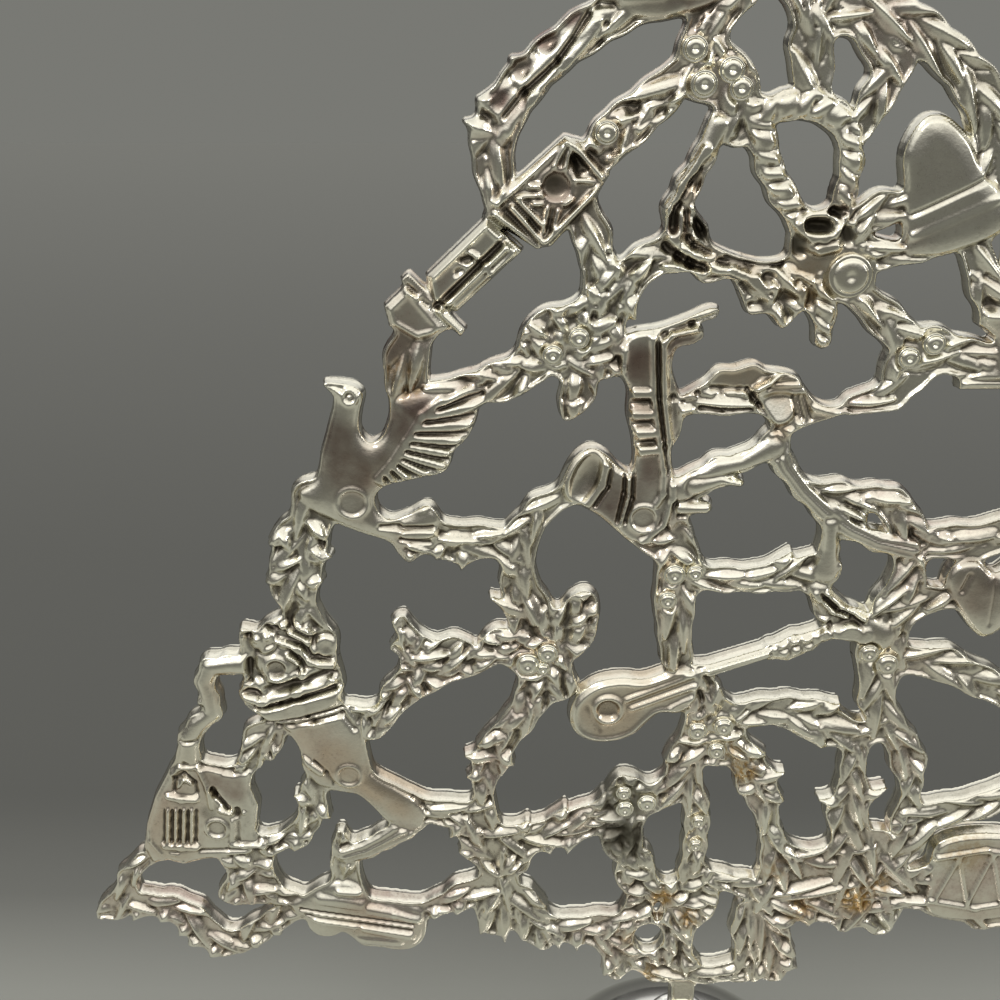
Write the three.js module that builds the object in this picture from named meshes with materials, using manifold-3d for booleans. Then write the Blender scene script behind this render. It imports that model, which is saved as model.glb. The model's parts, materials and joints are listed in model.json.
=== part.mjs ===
// Openwork metal christmas tree: one flat double-sided casting that plugs into a weighted domed base.
// Millimetres, +Z up, the tree's front faces -Y, origin at the middle of the felt that it stands on.
import * as THREE from "three";
import { mergeVertices } from "three/addons/utils/BufferGeometryUtils.js";
import Module from "manifold-3d";

const wasm = await Module();
wasm.setup();

// Driving dimensions of the casting.
const panelScale = 1.0; // the drawing below is the casting's real size
const drawnFoot = 34.2; // height in the drawing at which the trunk leaves the collar
const panelThickness = 4.2;
const figureRelief = 0.45; // how far the ornaments stand proud of the branches, on each face
const figureInset = 0.9;
const berryRelief = 0.7;
const berrySides = 8;
const berryWeb = 0.3; // metal round each berry
const leafTipWidth = 0.5;
const filletWidth = 1.3; // how softly neighbouring branches flow together
const trunkWidth = 4.0;
const trunkHeight = 11.8; // straight trunk above the collar
const tangWidth = 3.0;
const tangThickness = 3.2;
const tangLength = 15.0;

// Driving dimensions of the base.
const domeRadius = 28.5;
const domeWall = 0.9;
const domeRimHeight = 0.5; // the straight skirt under the half sphere
const plinthWidth = 8.5; // from the dome's side to the plinth's edge
const plinthHeight = 5.4;
const plinthLip = 2.6;
const plinthBead = 0.9;
const plinthStepLow = 0.4; // shares of the plinth's height
const plinthStepHigh = 0.55;
const feltThickness = 1.0;
const feltInset = 0.7; // the felt's edge inside the bottom plate's
const feltProud = 0.4; // felt below the plinth's foot
const plateThickness = 1.2;
const plinthWall = 2.65; // the plinth's foot outside the bottom plate
const weightGap = 1.2; // between the cast weight and the dome
const weightTopHeight = 17.0;
const weightShoulder = 0.6; // share of the rise at which the weight's side bends
const collarRadius = 5.6;
const collarHeight = 2.4;
const collarTopRadius = 4.6;
const collarShoulder = 0.5; // share of the collar's height
const shankRadius = 4.0;
const boreClearance = 0.4;
const slotClearance = 0.3;
const slotFloor = 2.5;
const washerRadius = 8.0;
const washerThickness = 1.0;
const cutOverrun = 1.0; // how far a cut runs past the piece
const nutAcrossFlats = 12.0;
const nutHeight = 3.2;
const threadEnd = 1.0; // thread that shows under the nut
const seatGap = 0.15; // left between pieces that bear on each other
const roundSides = 40;
const domeSteps = 8; // facets up the dome's side
const smallSides = 24;

// Heights that follow from them.
const plateBottom = feltThickness + seatGap;
const plateTop = plateBottom + plateThickness;
const plinthBottom = feltProud;
const plinthTop = plinthBottom + plinthHeight;
const plinthRadius = domeRadius + plinthWidth;
const plateRadius = plinthRadius - plinthWall - seatGap;
const feltRadius = plateRadius - feltInset;
const domeBottom = plateTop + seatGap;
const domeCentre = domeBottom + domeRimHeight;
const domeTop = domeCentre + domeRadius;
const collarBottom = domeTop + seatGap;
const collarTop = collarBottom + collarHeight;
const trunkFoot = collarTop + seatGap;
const nutBottom = plateTop + seatGap + threadEnd;
const washerBottom = nutBottom + nutHeight + seatGap;
const weightSeat = washerBottom + washerThickness + seatGap;
const weightBottom = plateTop + seatGap;
const weightTop = plateTop + weightTopHeight;
const tangFoot = trunkFoot - tangLength;

// Branches: rows of x, z and width along the middle of each, seen from the front.
const branches = {
  upperLeftBough: [[-12, 200, 5], [-17, 197, 5], [-21, 194.7, 5], [-25, 191.8, 4.8], [-28.6, 188.4, 5.2],
    [-31.2, 185, 5.6], [-32.4, 181.5, 5.2], [-32.2, 178, 4.6], [-31.6, 174.5, 4]],
  lanternNeck: [[-7.5, 190.5, 4.4], [-11.5, 186.8, 5], [-15, 183.8, 5.6], [-18.5, 180.2, 5]],
  topBerryStem: [[-6, 198, 4], [-6, 194.5, 4.4], [-5, 190.5, 7], [-2.2, 188.6, 6], [-0.8, 184.5, 5.4],
    [-1, 182.8, 4]],
  thinBar: [[-3.6, 183.6, 3], [-5.2, 179.6, 2.6], [-7, 176.2, 3], [-8.2, 173, 3.4], [-6.9, 169.6, 6]],
  ropeLeft: [[1.6, 185.2, 3], [2.3, 181.6, 3.2], [3.3, 178.4, 3.2], [5.3, 175, 3.2], [7.6, 172, 3.2]],
  ropeTop: [[1.6, 185.2, 3], [5, 186, 3.4], [8.4, 186.2, 3.6], [11.2, 184.8, 3.4], [13.2, 182.6, 3]],
  ropeRight: [[13.2, 182.6, 3], [13.9, 179, 2.8], [13.5, 175.2, 2.6], [12.8, 172, 3]],
  rightTopStem: [[8.2, 187, 4], [7.8, 190.5, 4.8], [7.2, 193.4, 5], [7.8, 196.6, 4.4], [8.6, 200, 4]],
  rightTopFork: [[9, 195.8, 3.6], [12.6, 195.8, 2.6], [15.2, 193.4, 3.4], [17.2, 190.4, 4]],
  rightTopLeaf: [[18.6, 191, 4], [16.2, 187, 4.2], [14.8, 183.2, 3]],
  ropeTail: [[12.2, 163, 3.2], [12.4, 159, 2.8], [12.5, 155.4, 2.4]],
  lowerLeftOfBow: [[-8.6, 167.6, 5], [-12, 166, 4.4], [-14.8, 163.4, 5], [-16.8, 160, 5.4],
    [-17.4, 156, 4.8], [-17, 152.4, 4.6]],
  lanternStem: [[-20.6, 172.6, 4.4], [-19.2, 169.4, 4.6], [-18.6, 166.4, 3.8], [-18.4, 163, 3.2],
    [-18.2, 160, 4]],
  doveWingBranch: [[-27, 151.6, 5.2], [-31.5, 149.4, 5.4], [-35.8, 148.4, 4], [-40, 148, 3.4]],
  cupStem: [[-43, 156, 5], [-44.3, 152.6, 5.6], [-44.3, 149, 6]],
  underDoveBough: [[-58.6, 132, 5.4], [-58.6, 128.6, 5.6], [-60.4, 125, 7.4], [-61.4, 121, 7.2],
    [-61.9, 117.6, 6.4], [-61.2, 114, 4.6], [-60.6, 110.6, 4.6]],
  doveTailArm: [[-41.5, 126.2, 5], [-38, 124.9, 5.4], [-34.6, 125.2, 5], [-31.6, 125, 4.4],
    [-28.6, 124.4, 4.2]],
  bellArm: [[-22.4, 132.2, 3.4], [-25.6, 130.2, 4], [-27.9, 126.8, 4.6], [-28.7, 122.6, 4.2],
    [-28.7, 118.6, 5], [-27.3, 114.6, 6.2], [-26.6, 110.6, 6.4]],
  clusterDown: [[-26.4, 98.4, 5.2], [-28.6, 94.4, 4.8], [-31.4, 90.6, 4.6], [-32.9, 87, 5.4],
    [-33.9, 83, 3.2], [-34, 79, 3], [-33.6, 75, 4.4]],
  stockingToeBar: [[-46, 78.2, 4.6], [-40, 77.1, 4.6], [-35, 77, 5]],
  berryBar: [[-34, 73, 5], [-29, 71.7, 5.6], [-25, 72.6, 5.2], [-21, 74, 6], [-17.6, 75.6, 5.6],
    [-14, 77, 5]],
  darkBerryArm: [[-0.6, 90.4, 5.6], [-2.2, 87, 5.4], [-2.4, 84, 5], [-4.4, 81.6, 5], [-7, 80, 5]],
  beadedStem: [[-1.4, 83.6, 3.6], [0, 79, 3.6], [0.3, 75, 3.6], [0.3, 70.6, 3.4], [0, 66, 4]],
  berryToGuitar: [[-0.6, 93, 4.4], [0.8, 96, 6], [0.2, 99.6, 4.4], [-1, 102.6, 3]],
  rightArm: [[4.6, 95.2, 5], [9, 96.2, 4.4], [13, 96.3, 4.8], [17, 95, 6.6], [20, 93.2, 6], [23, 92, 4.6],
    [27, 92.6, 4.2]],
  rightDrop: [[24.4, 91, 4.6], [24.2, 86, 3.6], [24.6, 82, 4.6], [24.2, 77.6, 6.2], [25.4, 73, 6.4]],
  rightDownBranch: [[4.6, 91, 4.6], [7.3, 87.2, 5], [9.3, 83.6, 5.6], [10.6, 80, 5], [11.6, 76.4, 3.2],
    [12.4, 72.6, 3.4]],
  saxStem: [[-5.4, 122, 6], [-5.2, 118, 5.8], [-5.3, 113.6, 5.4], [-5.2, 110, 4.6], [-4.6, 106, 5]],
  middleBar: [[-3, 119.3, 4], [2, 119, 3.8], [7, 119, 4], [11, 119.8, 5], [14.6, 120.2, 5.4],
    [16.4, 120.4, 4]],
  middleHook: [[16.4, 120.4, 4], [16.6, 124, 2.6], [16.3, 128, 2.6]],
  sweptBand: [[7.2, 140.6, 3.6], [9, 136.9, 2.8], [11.9, 133.2, 2.6], [15.2, 130, 2.8],
    [19.2, 127.2, 2.8], [23.4, 125.2, 2.8], [28.4, 124, 3.4]],
  sweptLeaf: [[13.8, 133.2, 2.4], [17, 132.6, 3.6], [20.4, 131.8, 3.2], [25, 131.8, 3]],
  sweptWeb: [[14.6, 132.4, 1.6], [17.6, 130.6, 2.6], [20.6, 128.8, 2]],
  saxArm: [[-5.6, 133.4, 4], [-3, 134.6, 3.6], [-0.4, 136.8, 3], [3, 137.6, 2.6], [7, 139.8, 3.6]],
  saxArmLeaf: [[-3.6, 134, 3], [0, 135, 1.8], [2.8, 134.4, 1.2]],
  saxRightKey: [[-5.4, 130.6, 2.2], [-1.9, 130.6, 2]],
  scrollBand: [[15.6, 117.4, 3.4], [17.6, 114.2, 4], [21, 111.8, 4.8], [25.6, 109.4, 5]],
  headstockLink: [[15.6, 109, 2.4], [18.4, 110.6, 2.6], [21, 111, 3.4]],
  stockingStem: [[-60.4, 112, 5], [-58.6, 109, 5.4]],
  hook: [[-68.6, 104.6, 3.6], [-72.4, 104.6, 3], [-75.4, 104.2, 2.8], [-76.6, 101.6, 2.6],
    [-76, 98.6, 2.6], [-75.8, 96, 2.6], [-78.2, 94, 2.8], [-79.9, 91.4, 3], [-80.3, 88.4, 3.2],
    [-81, 85.4, 4]],
  hookLeaf: [[-66.4, 93.8, 3], [-68.6, 91.4, 5.4], [-69.8, 89.4, 3.6], [-71.8, 87.4, 1.6]],
  hookLeafTip: [[-66, 93, 3], [-66.8, 90.6, 2.4], [-67.4, 88, 1.4]],
  churchRoofLine: [[-79.4, 86.2, 2.4], [-76, 84.6, 3], [-73, 84.8, 2.6], [-69.6, 86.8, 1.8]],
  churchSideStem: [[-70.6, 71.4, 2.8], [-67, 71.8, 2.6], [-64.2, 72.8, 4], [-62.2, 75.6, 3.4],
    [-61.3, 78.6, 4], [-61, 82, 4.2]],
  leftCornerLeaf: [[-89.6, 68, 3], [-92.6, 64.6, 2.8], [-93.2, 61, 3.6], [-95.6, 58, 4.4],
    [-98, 56.6, 2]],
  swag: [[-94, 59, 4], [-90, 58.8, 4], [-86, 58, 4.8], [-83, 56, 5.4], [-81, 53, 5.6], [-78.2, 50.6, 5.2],
    [-75.4, 50.9, 4.2], [-72, 53, 4.2], [-68.6, 55.8, 4], [-65.4, 57.8, 4.2]],
  doorstep: [[-75.4, 61.2, 4.4], [-71, 61.2, 3.6], [-66, 60, 3.4]],
  hornPost: [[-56.6, 63.6, 5], [-56.8, 67, 4.2], [-57, 70.4, 3], [-57.2, 73, 1.6]],
  hornArm: [[-56.4, 69, 3], [-53, 70.2, 3.4], [-50, 72, 3.4], [-47, 74, 4.4]],
  hornToVine: [[-44.8, 57.4, 3.2], [-41, 58.8, 3.4], [-37.6, 60.6, 5], [-34, 62, 5.4]],
  vineUp: [[-32, 63, 5], [-32.4, 67, 4.6], [-34.6, 70.4, 5.2], [-36.8, 74, 4]],
  vineV: [[-31.6, 64.6, 3.2], [-28.4, 67, 3], [-27.6, 69.6, 3.6]],
  vineDown: [[-31.4, 63, 6.4], [-31.6, 58, 7.6], [-32.2, 54.6, 4.6]],
  vineDownRight: [[-29, 60, 6], [-27.2, 56, 5.6], [-25, 52.6, 4.6], [-24, 50.6, 2.8]],
  vineRight: [[-27.6, 58, 5], [-23, 53.8, 4.4], [-19, 53.4, 5], [-15, 53.4, 6], [-11.8, 53.6, 6]],
  footLeft: [[-15, 53.4, 5], [-12.2, 50, 5], [-11, 46.4, 4.4], [-11.6, 43.8, 2.4]],
  footMiddle: [[-10.6, 49.4, 3.4], [-7.4, 46.6, 3.4], [-4.4, 44.6, 4.6], [0, 44.4, 4.6], [4, 43.6, 3.2],
    [8.4, 44.4, 4.4]],
  footRightStem: [[9.8, 57.6, 4], [9.6, 53.4, 4.2], [10.4, 49, 3.6], [10.2, 44, 3.6]],
  footRightLeaves: [[12.4, 55.6, 6], [14.4, 52, 5.6], [15.4, 48, 5.4], [15.2, 44.6, 4.6]],
  rightLowerVine: [[0.8, 65.2, 3.2], [5, 63.6, 3], [9, 62.4, 3.6], [12.6, 60.6, 4.6], [15, 58, 6]],
  rightLowerPost: [[12.8, 73, 3], [13.2, 69, 4], [13.4, 64, 4.6], [14, 60, 6]],
  rightLowerTop: [[13.6, 70.6, 3.4], [17, 68, 4], [21.6, 68, 4.2], [25.4, 70, 6]],
  rightLowerFoliage: [[14, 60.6, 8], [19, 61, 11], [24, 60, 9.6], [27.6, 58, 7.6], [31, 57.4, 6]],
  rightLowerTip: [[25.8, 57, 4.6], [26.1, 54.2, 2.4]],
  rightLowerBack: [[25.6, 70, 6], [26.4, 66, 6], [27.4, 61, 7]],
};

// The same branches turned about the trunk carry the right-hand side.
const mirroredBranches = ["upperLeftBough", "underDoveBough", "doveTailArm", "bellArm", "clusterDown", "hook",
  "leftCornerLeaf", "swag", "churchSideStem", "vineUp", "vineDown", "hornToVine"];

// Branches of the right-hand side and the crown, which are its own.
const ownBranches = {
  bowLink: [[15, 171, 4], [18.6, 173, 4.4], [22, 173.6, 3]],
  bowLinkLow: [[15, 168.6, 3.6], [19, 167, 3.6], [24, 167.4, 3]],
  bellLink: [[17, 161.4, 4], [20.6, 158.4, 4.6], [23.6, 155.6, 5]],
  candleFoot: [[31.6, 167.6, 4], [34, 162.6, 4.6], [37.4, 158.6, 5]],
  rightHolly: [[23, 147.4, 4], [24.6, 151, 6.6], [27.4, 153.8, 6.2], [32, 153, 5], [37, 152.4, 4.6]],
  rightHollyIn: [[18, 146.2, 3], [23, 147.6, 4]],
  starLink: [[43, 153.4, 4.4], [47.4, 150.4, 4], [49.6, 146.6, 4]],
  starFoot: [[54.4, 131.4, 4], [57.6, 128.6, 5]],
  tailRight: [[41, 126, 5], [45.6, 128.4, 4], [49.4, 131, 3.6]],
  leafRight: [[25, 131.8, 3.2], [27.6, 128.4, 4]],
  heartLink: [[36, 116, 3.4], [32, 115.6, 4], [28, 113, 5]],
  heartLinkOut: [[47, 116.8, 3.6], [52, 117.4, 4], [58.6, 116.8, 4.6]],
  hollyRight: [[26.6, 110.6, 6.2], [26.6, 105, 7], [26.4, 99, 5.4]],
  giftLink: [[30, 105.4, 4.6], [36, 104.6, 5.4], [42, 101.6, 5], [48, 98.6, 4.6], [53, 97.6, 4]],
  giftFoot: [[57, 87.6, 3.4], [53, 82.6, 4.6], [46, 78.6, 4.6], [40, 77, 4.6], [34, 76.4, 4.6]],
  giftSide: [[66.6, 90, 4], [70.4, 87.4, 4], [74, 85.6, 3]],
  drumLink: [[30, 62.6, 5], [36, 63.4, 4.4], [40, 65.4, 4]],
  drumFoot: [[44, 59, 3.4], [49, 56, 4.4], [55, 56.6, 4.6], [62, 58, 4.2]],
  drumSide: [[54.6, 68.4, 3.6], [59, 69.6, 4], [63.4, 72.4, 4]],
  firLink: [[70.6, 71.4, 3], [74.6, 70.6, 3.4], [78, 70.4, 4]],
  firFoot: [[80.6, 69.6, 3.6], [80.4, 65, 4], [76, 61.4, 4.4], [70, 61, 4], [65.4, 58.6, 4]],
  rightVineDown: [[29.6, 71, 6], [31.4, 66, 6], [31.6, 62, 6.4]],
  crownLeft: [[-12, 200, 5], [-11.6, 207, 4.4], [-9.6, 213.6, 4.6], [-7.4, 219.6, 4.4], [-5.4, 225, 4.4],
    [-3, 230.4, 4]],
  crownRight: [[12, 200, 5], [11.6, 207, 4.4], [9.6, 213.6, 4.6], [7.4, 219.6, 4.4], [5.4, 225, 4.4],
    [3, 230.4, 4]],
  crownBar: [[-11, 207.4, 3.6], [-5.6, 209.6, 4.4], [0, 208.6, 4.6], [5.6, 209.6, 4.4], [11, 207.4, 3.6]],
  crownDrop: [[0, 208.6, 4], [0.6, 204, 3.6], [-1.6, 199.6, 3.8], [-4.6, 196, 4]],
  crownDropRight: [[0.6, 204, 3.6], [4.6, 200.6, 4], [7, 196.6, 4]],
  crownStem: [[0, 221, 3.6], [0, 226, 4.4], [0, 231, 5], [0, 237.6, 4]],
  crownRing: [[-7, 217.6, 3], [-2.6, 221, 3.6], [2.6, 221, 3.6], [7, 217.6, 3]],
};

// Small pointed leaves: x and z of the root, x and z of the tip, and the width.
const leaves = [
  [-28, 190, -29.8, 191.6, 3], [-31, 186.2, -33.9, 186.6, 3], [-32.6, 182.6, -35.8, 184, 3.4],
  [-27.4, 113, -32.7, 116, 3.4], [-28.6, 119.6, -31.4, 122.4, 2.6], [-36.4, 124, -37, 120.8, 4.4],
  [-40.6, 125, -40.6, 122.6, 2.6], [-62, 126.8, -64.8, 125, 3], [-63, 120, -65.6, 118.8, 3.2],
  [-60, 122.6, -56.2, 122.8, 3], [-60.6, 118, -57.8, 118.8, 3], [-32, 91.6, -34.6, 90.2, 2.6],
  [-33, 87.6, -36.8, 88.2, 3], [-34, 84.6, -36.4, 84.2, 2.6], [-30.6, 92.8, -28, 95.6, 3],
  [-31.6, 88.4, -29.4, 86.6, 3], [-37, 76, -39.4, 72.6, 2.8], [-35.4, 69, -37.8, 69.6, 2.4],
  [-30.8, 58, -30.6, 51, 3.4], [-33, 58.6, -34.6, 52.8, 3.2], [-27.6, 56.6, -27.6, 51.8, 3],
  [-22, 53, -21.4, 49.6, 2.6], [-18.6, 53, -18.4, 49.2, 2.8], [-27, 60.8, -24, 58.6, 3],
  [-22, 75.6, -21, 78.2, 2.4], [-16, 77.6, -15, 80.6, 2.6], [-24, 71.6, -23.2, 69.4, 2.6],
  [-20, 72.4, -20.4, 69.4, 3], [-28, 73.4, -27, 75.6, 2.4], [8, 83, 13.4, 85, 3.6],
  [6.6, 89, 10, 88.6, 3], [10.4, 81, 13.6, 79.8, 2.6], [-3.4, 89, -5, 87.4, 2.6],
  [16.4, 94, 18.8, 90, 3.6], [13, 95, 16.8, 92, 2.6], [17.6, 96, 20.8, 97.6, 3],
  [9.4, 82.6, 7, 81.4, 2.4], [14.6, 119, 18.2, 121.2, 3], [9.4, 120.6, 11, 123.4, 2.6],
  [-17.6, 160.6, -19.4, 162.4, 2.6], [-15.6, 163.6, -16.6, 166.4, 2.6], [-14.4, 161.6, -13.2, 158.4, 2.8],
  [15.4, 46, 19, 45.4, 2.6], [15.6, 50, 18.2, 48, 2.4], [14, 54.6, 17.4, 54.8, 2.8],
  [13.6, 45.4, 12, 42.4, 2.4], [-12.4, 46.6, -13.6, 43.8, 2.2], [20, 57.6, 20.2, 54.4, 3],
  [23, 79, 19.6, 79.8, 2.6], [26.6, 80, 29.8, 82, 3], [-83.4, 54.6, -85.2, 52.4, 3],
  [-81.4, 51.6, -83.8, 50.4, 2.6], [-78.8, 50, -80.4, 47.8, 2.8], [-86.6, 57.4, -88, 55.4, 2.8],
  [-73, 52, -72.4, 50, 2.8], [-69.6, 54.6, -68.4, 52.6, 2.6], [-91, 58, -92.6, 55.6, 2.8],
  [-61.6, 79, -64, 80.6, 3], [-60.6, 78, -58.8, 76.4, 2.6], [-64, 72.6, -64.8, 70, 3],
  [-76, 98.6, -77.6, 98, 1.6], [-38, 59.6, -38.6, 56.8, 3], [-42, 58, -42.4, 56, 2.4],
  [10, 207.6, 14.4, 209, 3.4], [-10, 208, -14.4, 209.6, 3.4], [9, 213.6, 12.4, 216, 3.2],
  [-9, 214, -12.4, 216.4, 3.2], [6.6, 220, 9.6, 223, 3], [-6.6, 220, -9.6, 223, 3],
  [4.4, 226, 6.6, 229.6, 2.6], [-4.4, 226, -6.6, 229.6, 2.6], [0, 209, -1.6, 212.4, 3],
  [0, 209, 2.2, 212, 3],
];

// Berries: x, z and radius.
const berries = [
  [-7.2, 192.8, 1.7], [-5.8, 188.6, 1.8], [-2.4, 190.3, 1.7], [-1.1, 188.1, 1.6], [-17.8, 182.7, 1.6],
  [-24.2, 153.4, 1.5], [-20.7, 155.8, 1.5], [15.2, 164.3, 3], [-5.8, 120, 1.7], [-2.8, 120.3, 1.3],
  [-6.6, 115.8, 1.5], [-27.2, 104.9, 1.85], [-24.2, 106.8, 1.6], [-24.9, 104.2, 1.1], [-0.8, 93, 1.6],
  [3.2, 93.8, 1.6], [2.4, 89.4, 1.5], [-11.8, 81.5, 1.3], [-11.5, 78.4, 1.5], [-8, 79.5, 1.6],
  [0.4, 76, 1.2], [0.2, 71.3, 1.2], [24.4, 153, 1.6], [27.6, 155, 1.6], [27.2, 104.9, 1.8],
  [24.2, 106.8, 1.6], [-4.4, 209.8, 1.5], [4.4, 209.8, 1.5], [0, 222, 1.7],
];

// Closed outlines of the leafy patches between the branches.
const patches = {
  bowAndHolly: [[-9, 169.4], [-5.4, 169.4], [-2.2, 167.8], [0.5, 166.8], [3.7, 166.2], [6.4, 166.8],
    [6.8, 169.4], [7, 171.6], [9.6, 172.8], [13, 173], [15, 171.6], [17, 169.4], [17.6, 166], [18, 162.6],
    [15.6, 160.8], [13, 161.4], [11.2, 158.8], [9.4, 159.4], [6.9, 157], [4.6, 159], [2.2, 159],
    [1.1, 161], [-0.5, 163.7], [-4.2, 163.2], [-6, 164.6], [-9, 165]],
  hollyCluster: [[-29.4, 153], [-28.2, 157.2], [-25.6, 159.7], [-22.6, 160.3], [-20, 161.4], [-17, 160],
    [-15, 156.6], [-15.2, 151.2], [-17.6, 149.8], [-18.2, 147], [-20.6, 144.4], [-22.4, 143.8],
    [-23.3, 146.5], [-23, 149.3], [-25.4, 150.8], [-28.6, 147.8], [-31, 149.4]],
  bellLeaf: [[-25.6, 112], [-24.4, 114.6], [-22.6, 114.4], [-21, 116.2], [-18.9, 117.3], [-17.3, 116.4],
    [-16.6, 114], [-16.7, 111.4], [-17.4, 108.6], [-19, 106.5], [-20.4, 105], [-20.2, 103],
    [-19.4, 100.6], [-21, 98.6], [-23.8, 97.6], [-25.4, 96], [-27.4, 96.2], [-28.9, 98.4], [-28.8, 103],
    [-30.4, 104.6], [-30.2, 109], [-28.6, 111]],
  leftHollyArm: [[-47.6, 112.1], [-45.8, 113.1], [-44.5, 111.5], [-43.2, 110], [-41, 108.9],
    [-38.3, 109.6], [-36, 108.6], [-35, 108.1], [-33.5, 110], [-31.6, 111], [-29.6, 110], [-29.2, 105],
    [-31.8, 104.6], [-35, 102.8], [-39, 101.4], [-41, 100], [-43.5, 98.6], [-46.3, 96.2], [-48.2, 93.5],
    [-50.6, 91.2], [-53.2, 91.8], [-54, 95], [-54.6, 97.4], [-52, 97.2], [-50.2, 98], [-49.6, 100.5],
    [-47, 103.5], [-46.7, 106], [-48, 107.5], [-47, 109.5]],
  longLeaf: [[-6.4, 147], [-3, 149.5], [-1.3, 151.2], [0.8, 151.3], [3.5, 152], [5.2, 151.2], [8, 150.8],
    [9.6, 150.1], [10.9, 148.3], [12.5, 146.6], [14.6, 145.9], [18, 146.6], [22, 147.8], [22, 145.6],
    [18, 145.3], [15, 144.2], [12, 143.2], [9.6, 141.8], [8.6, 140], [6.3, 140.2], [6.6, 142.6],
    [5.2, 144.5], [3, 144.9], [0, 144.5], [-3, 144.8], [-6.6, 144.8]],
  saxWeb: [[-12, 125.4], [-8.3, 122], [-5.4, 120.6], [-2.4, 121.4], [-3.2, 126], [-4.3, 129.4],
    [-3.6, 133.6], [-7, 134]],
  darkBerries: [[-15.2, 79], [-14, 82.6], [-12.4, 84.5], [-10.5, 84.4], [-8, 83], [-5.6, 82],
    [-5.4, 79.4], [-7, 77.6], [-8.3, 74.4], [-8.2, 71], [-9.4, 69.4], [-12.5, 67.8], [-14.2, 69.2],
    [-15.2, 72], [-15.6, 76]],
  berryKnot: [[-2.4, 96], [-2, 93], [-3.4, 90.8], [-1, 88.4], [1.6, 86.4], [4.6, 86.6], [6.4, 89.4],
    [6.6, 92.4], [5.4, 95.6], [3.4, 98.4], [0.4, 98]],
  middleLeaves: [[-10.8, 69.6], [-12.6, 66], [-12.2, 63.2], [-10.5, 60.4], [-11.4, 57.4], [-12.4, 55],
    [-10.4, 50.4], [-8.4, 47.6], [-4, 46.6], [-2.2, 44], [1.4, 44], [1.1, 50], [1.6, 53.6], [4.1, 56.6],
    [4.8, 61.6], [2.6, 64.4], [1.8, 66.8], [-1.6, 66.6], [-2, 64.2], [-3.8, 63.2], [-5.6, 64.4],
    [-6.2, 67.4], [-7.4, 70.2]],
  cornucopiaToys: [[-70.8, 99.6], [-70, 104], [-70.6, 107.6], [-70.3, 110.8], [-68, 110.6], [-66.4, 112],
    [-64, 113], [-61.6, 112.4], [-59, 111], [-56.6, 108.6], [-56, 105.4], [-55.8, 100]],
  churchDoor: [[-77.2, 68.6], [-76.2, 65.2], [-77, 62.6], [-77.8, 60.4], [-74, 59.2], [-70, 60],
    [-66.2, 60.4], [-67.2, 62.6], [-68.4, 66], [-68, 68.8], [-66.6, 70.6], [-69.4, 71.6]],
};

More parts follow.
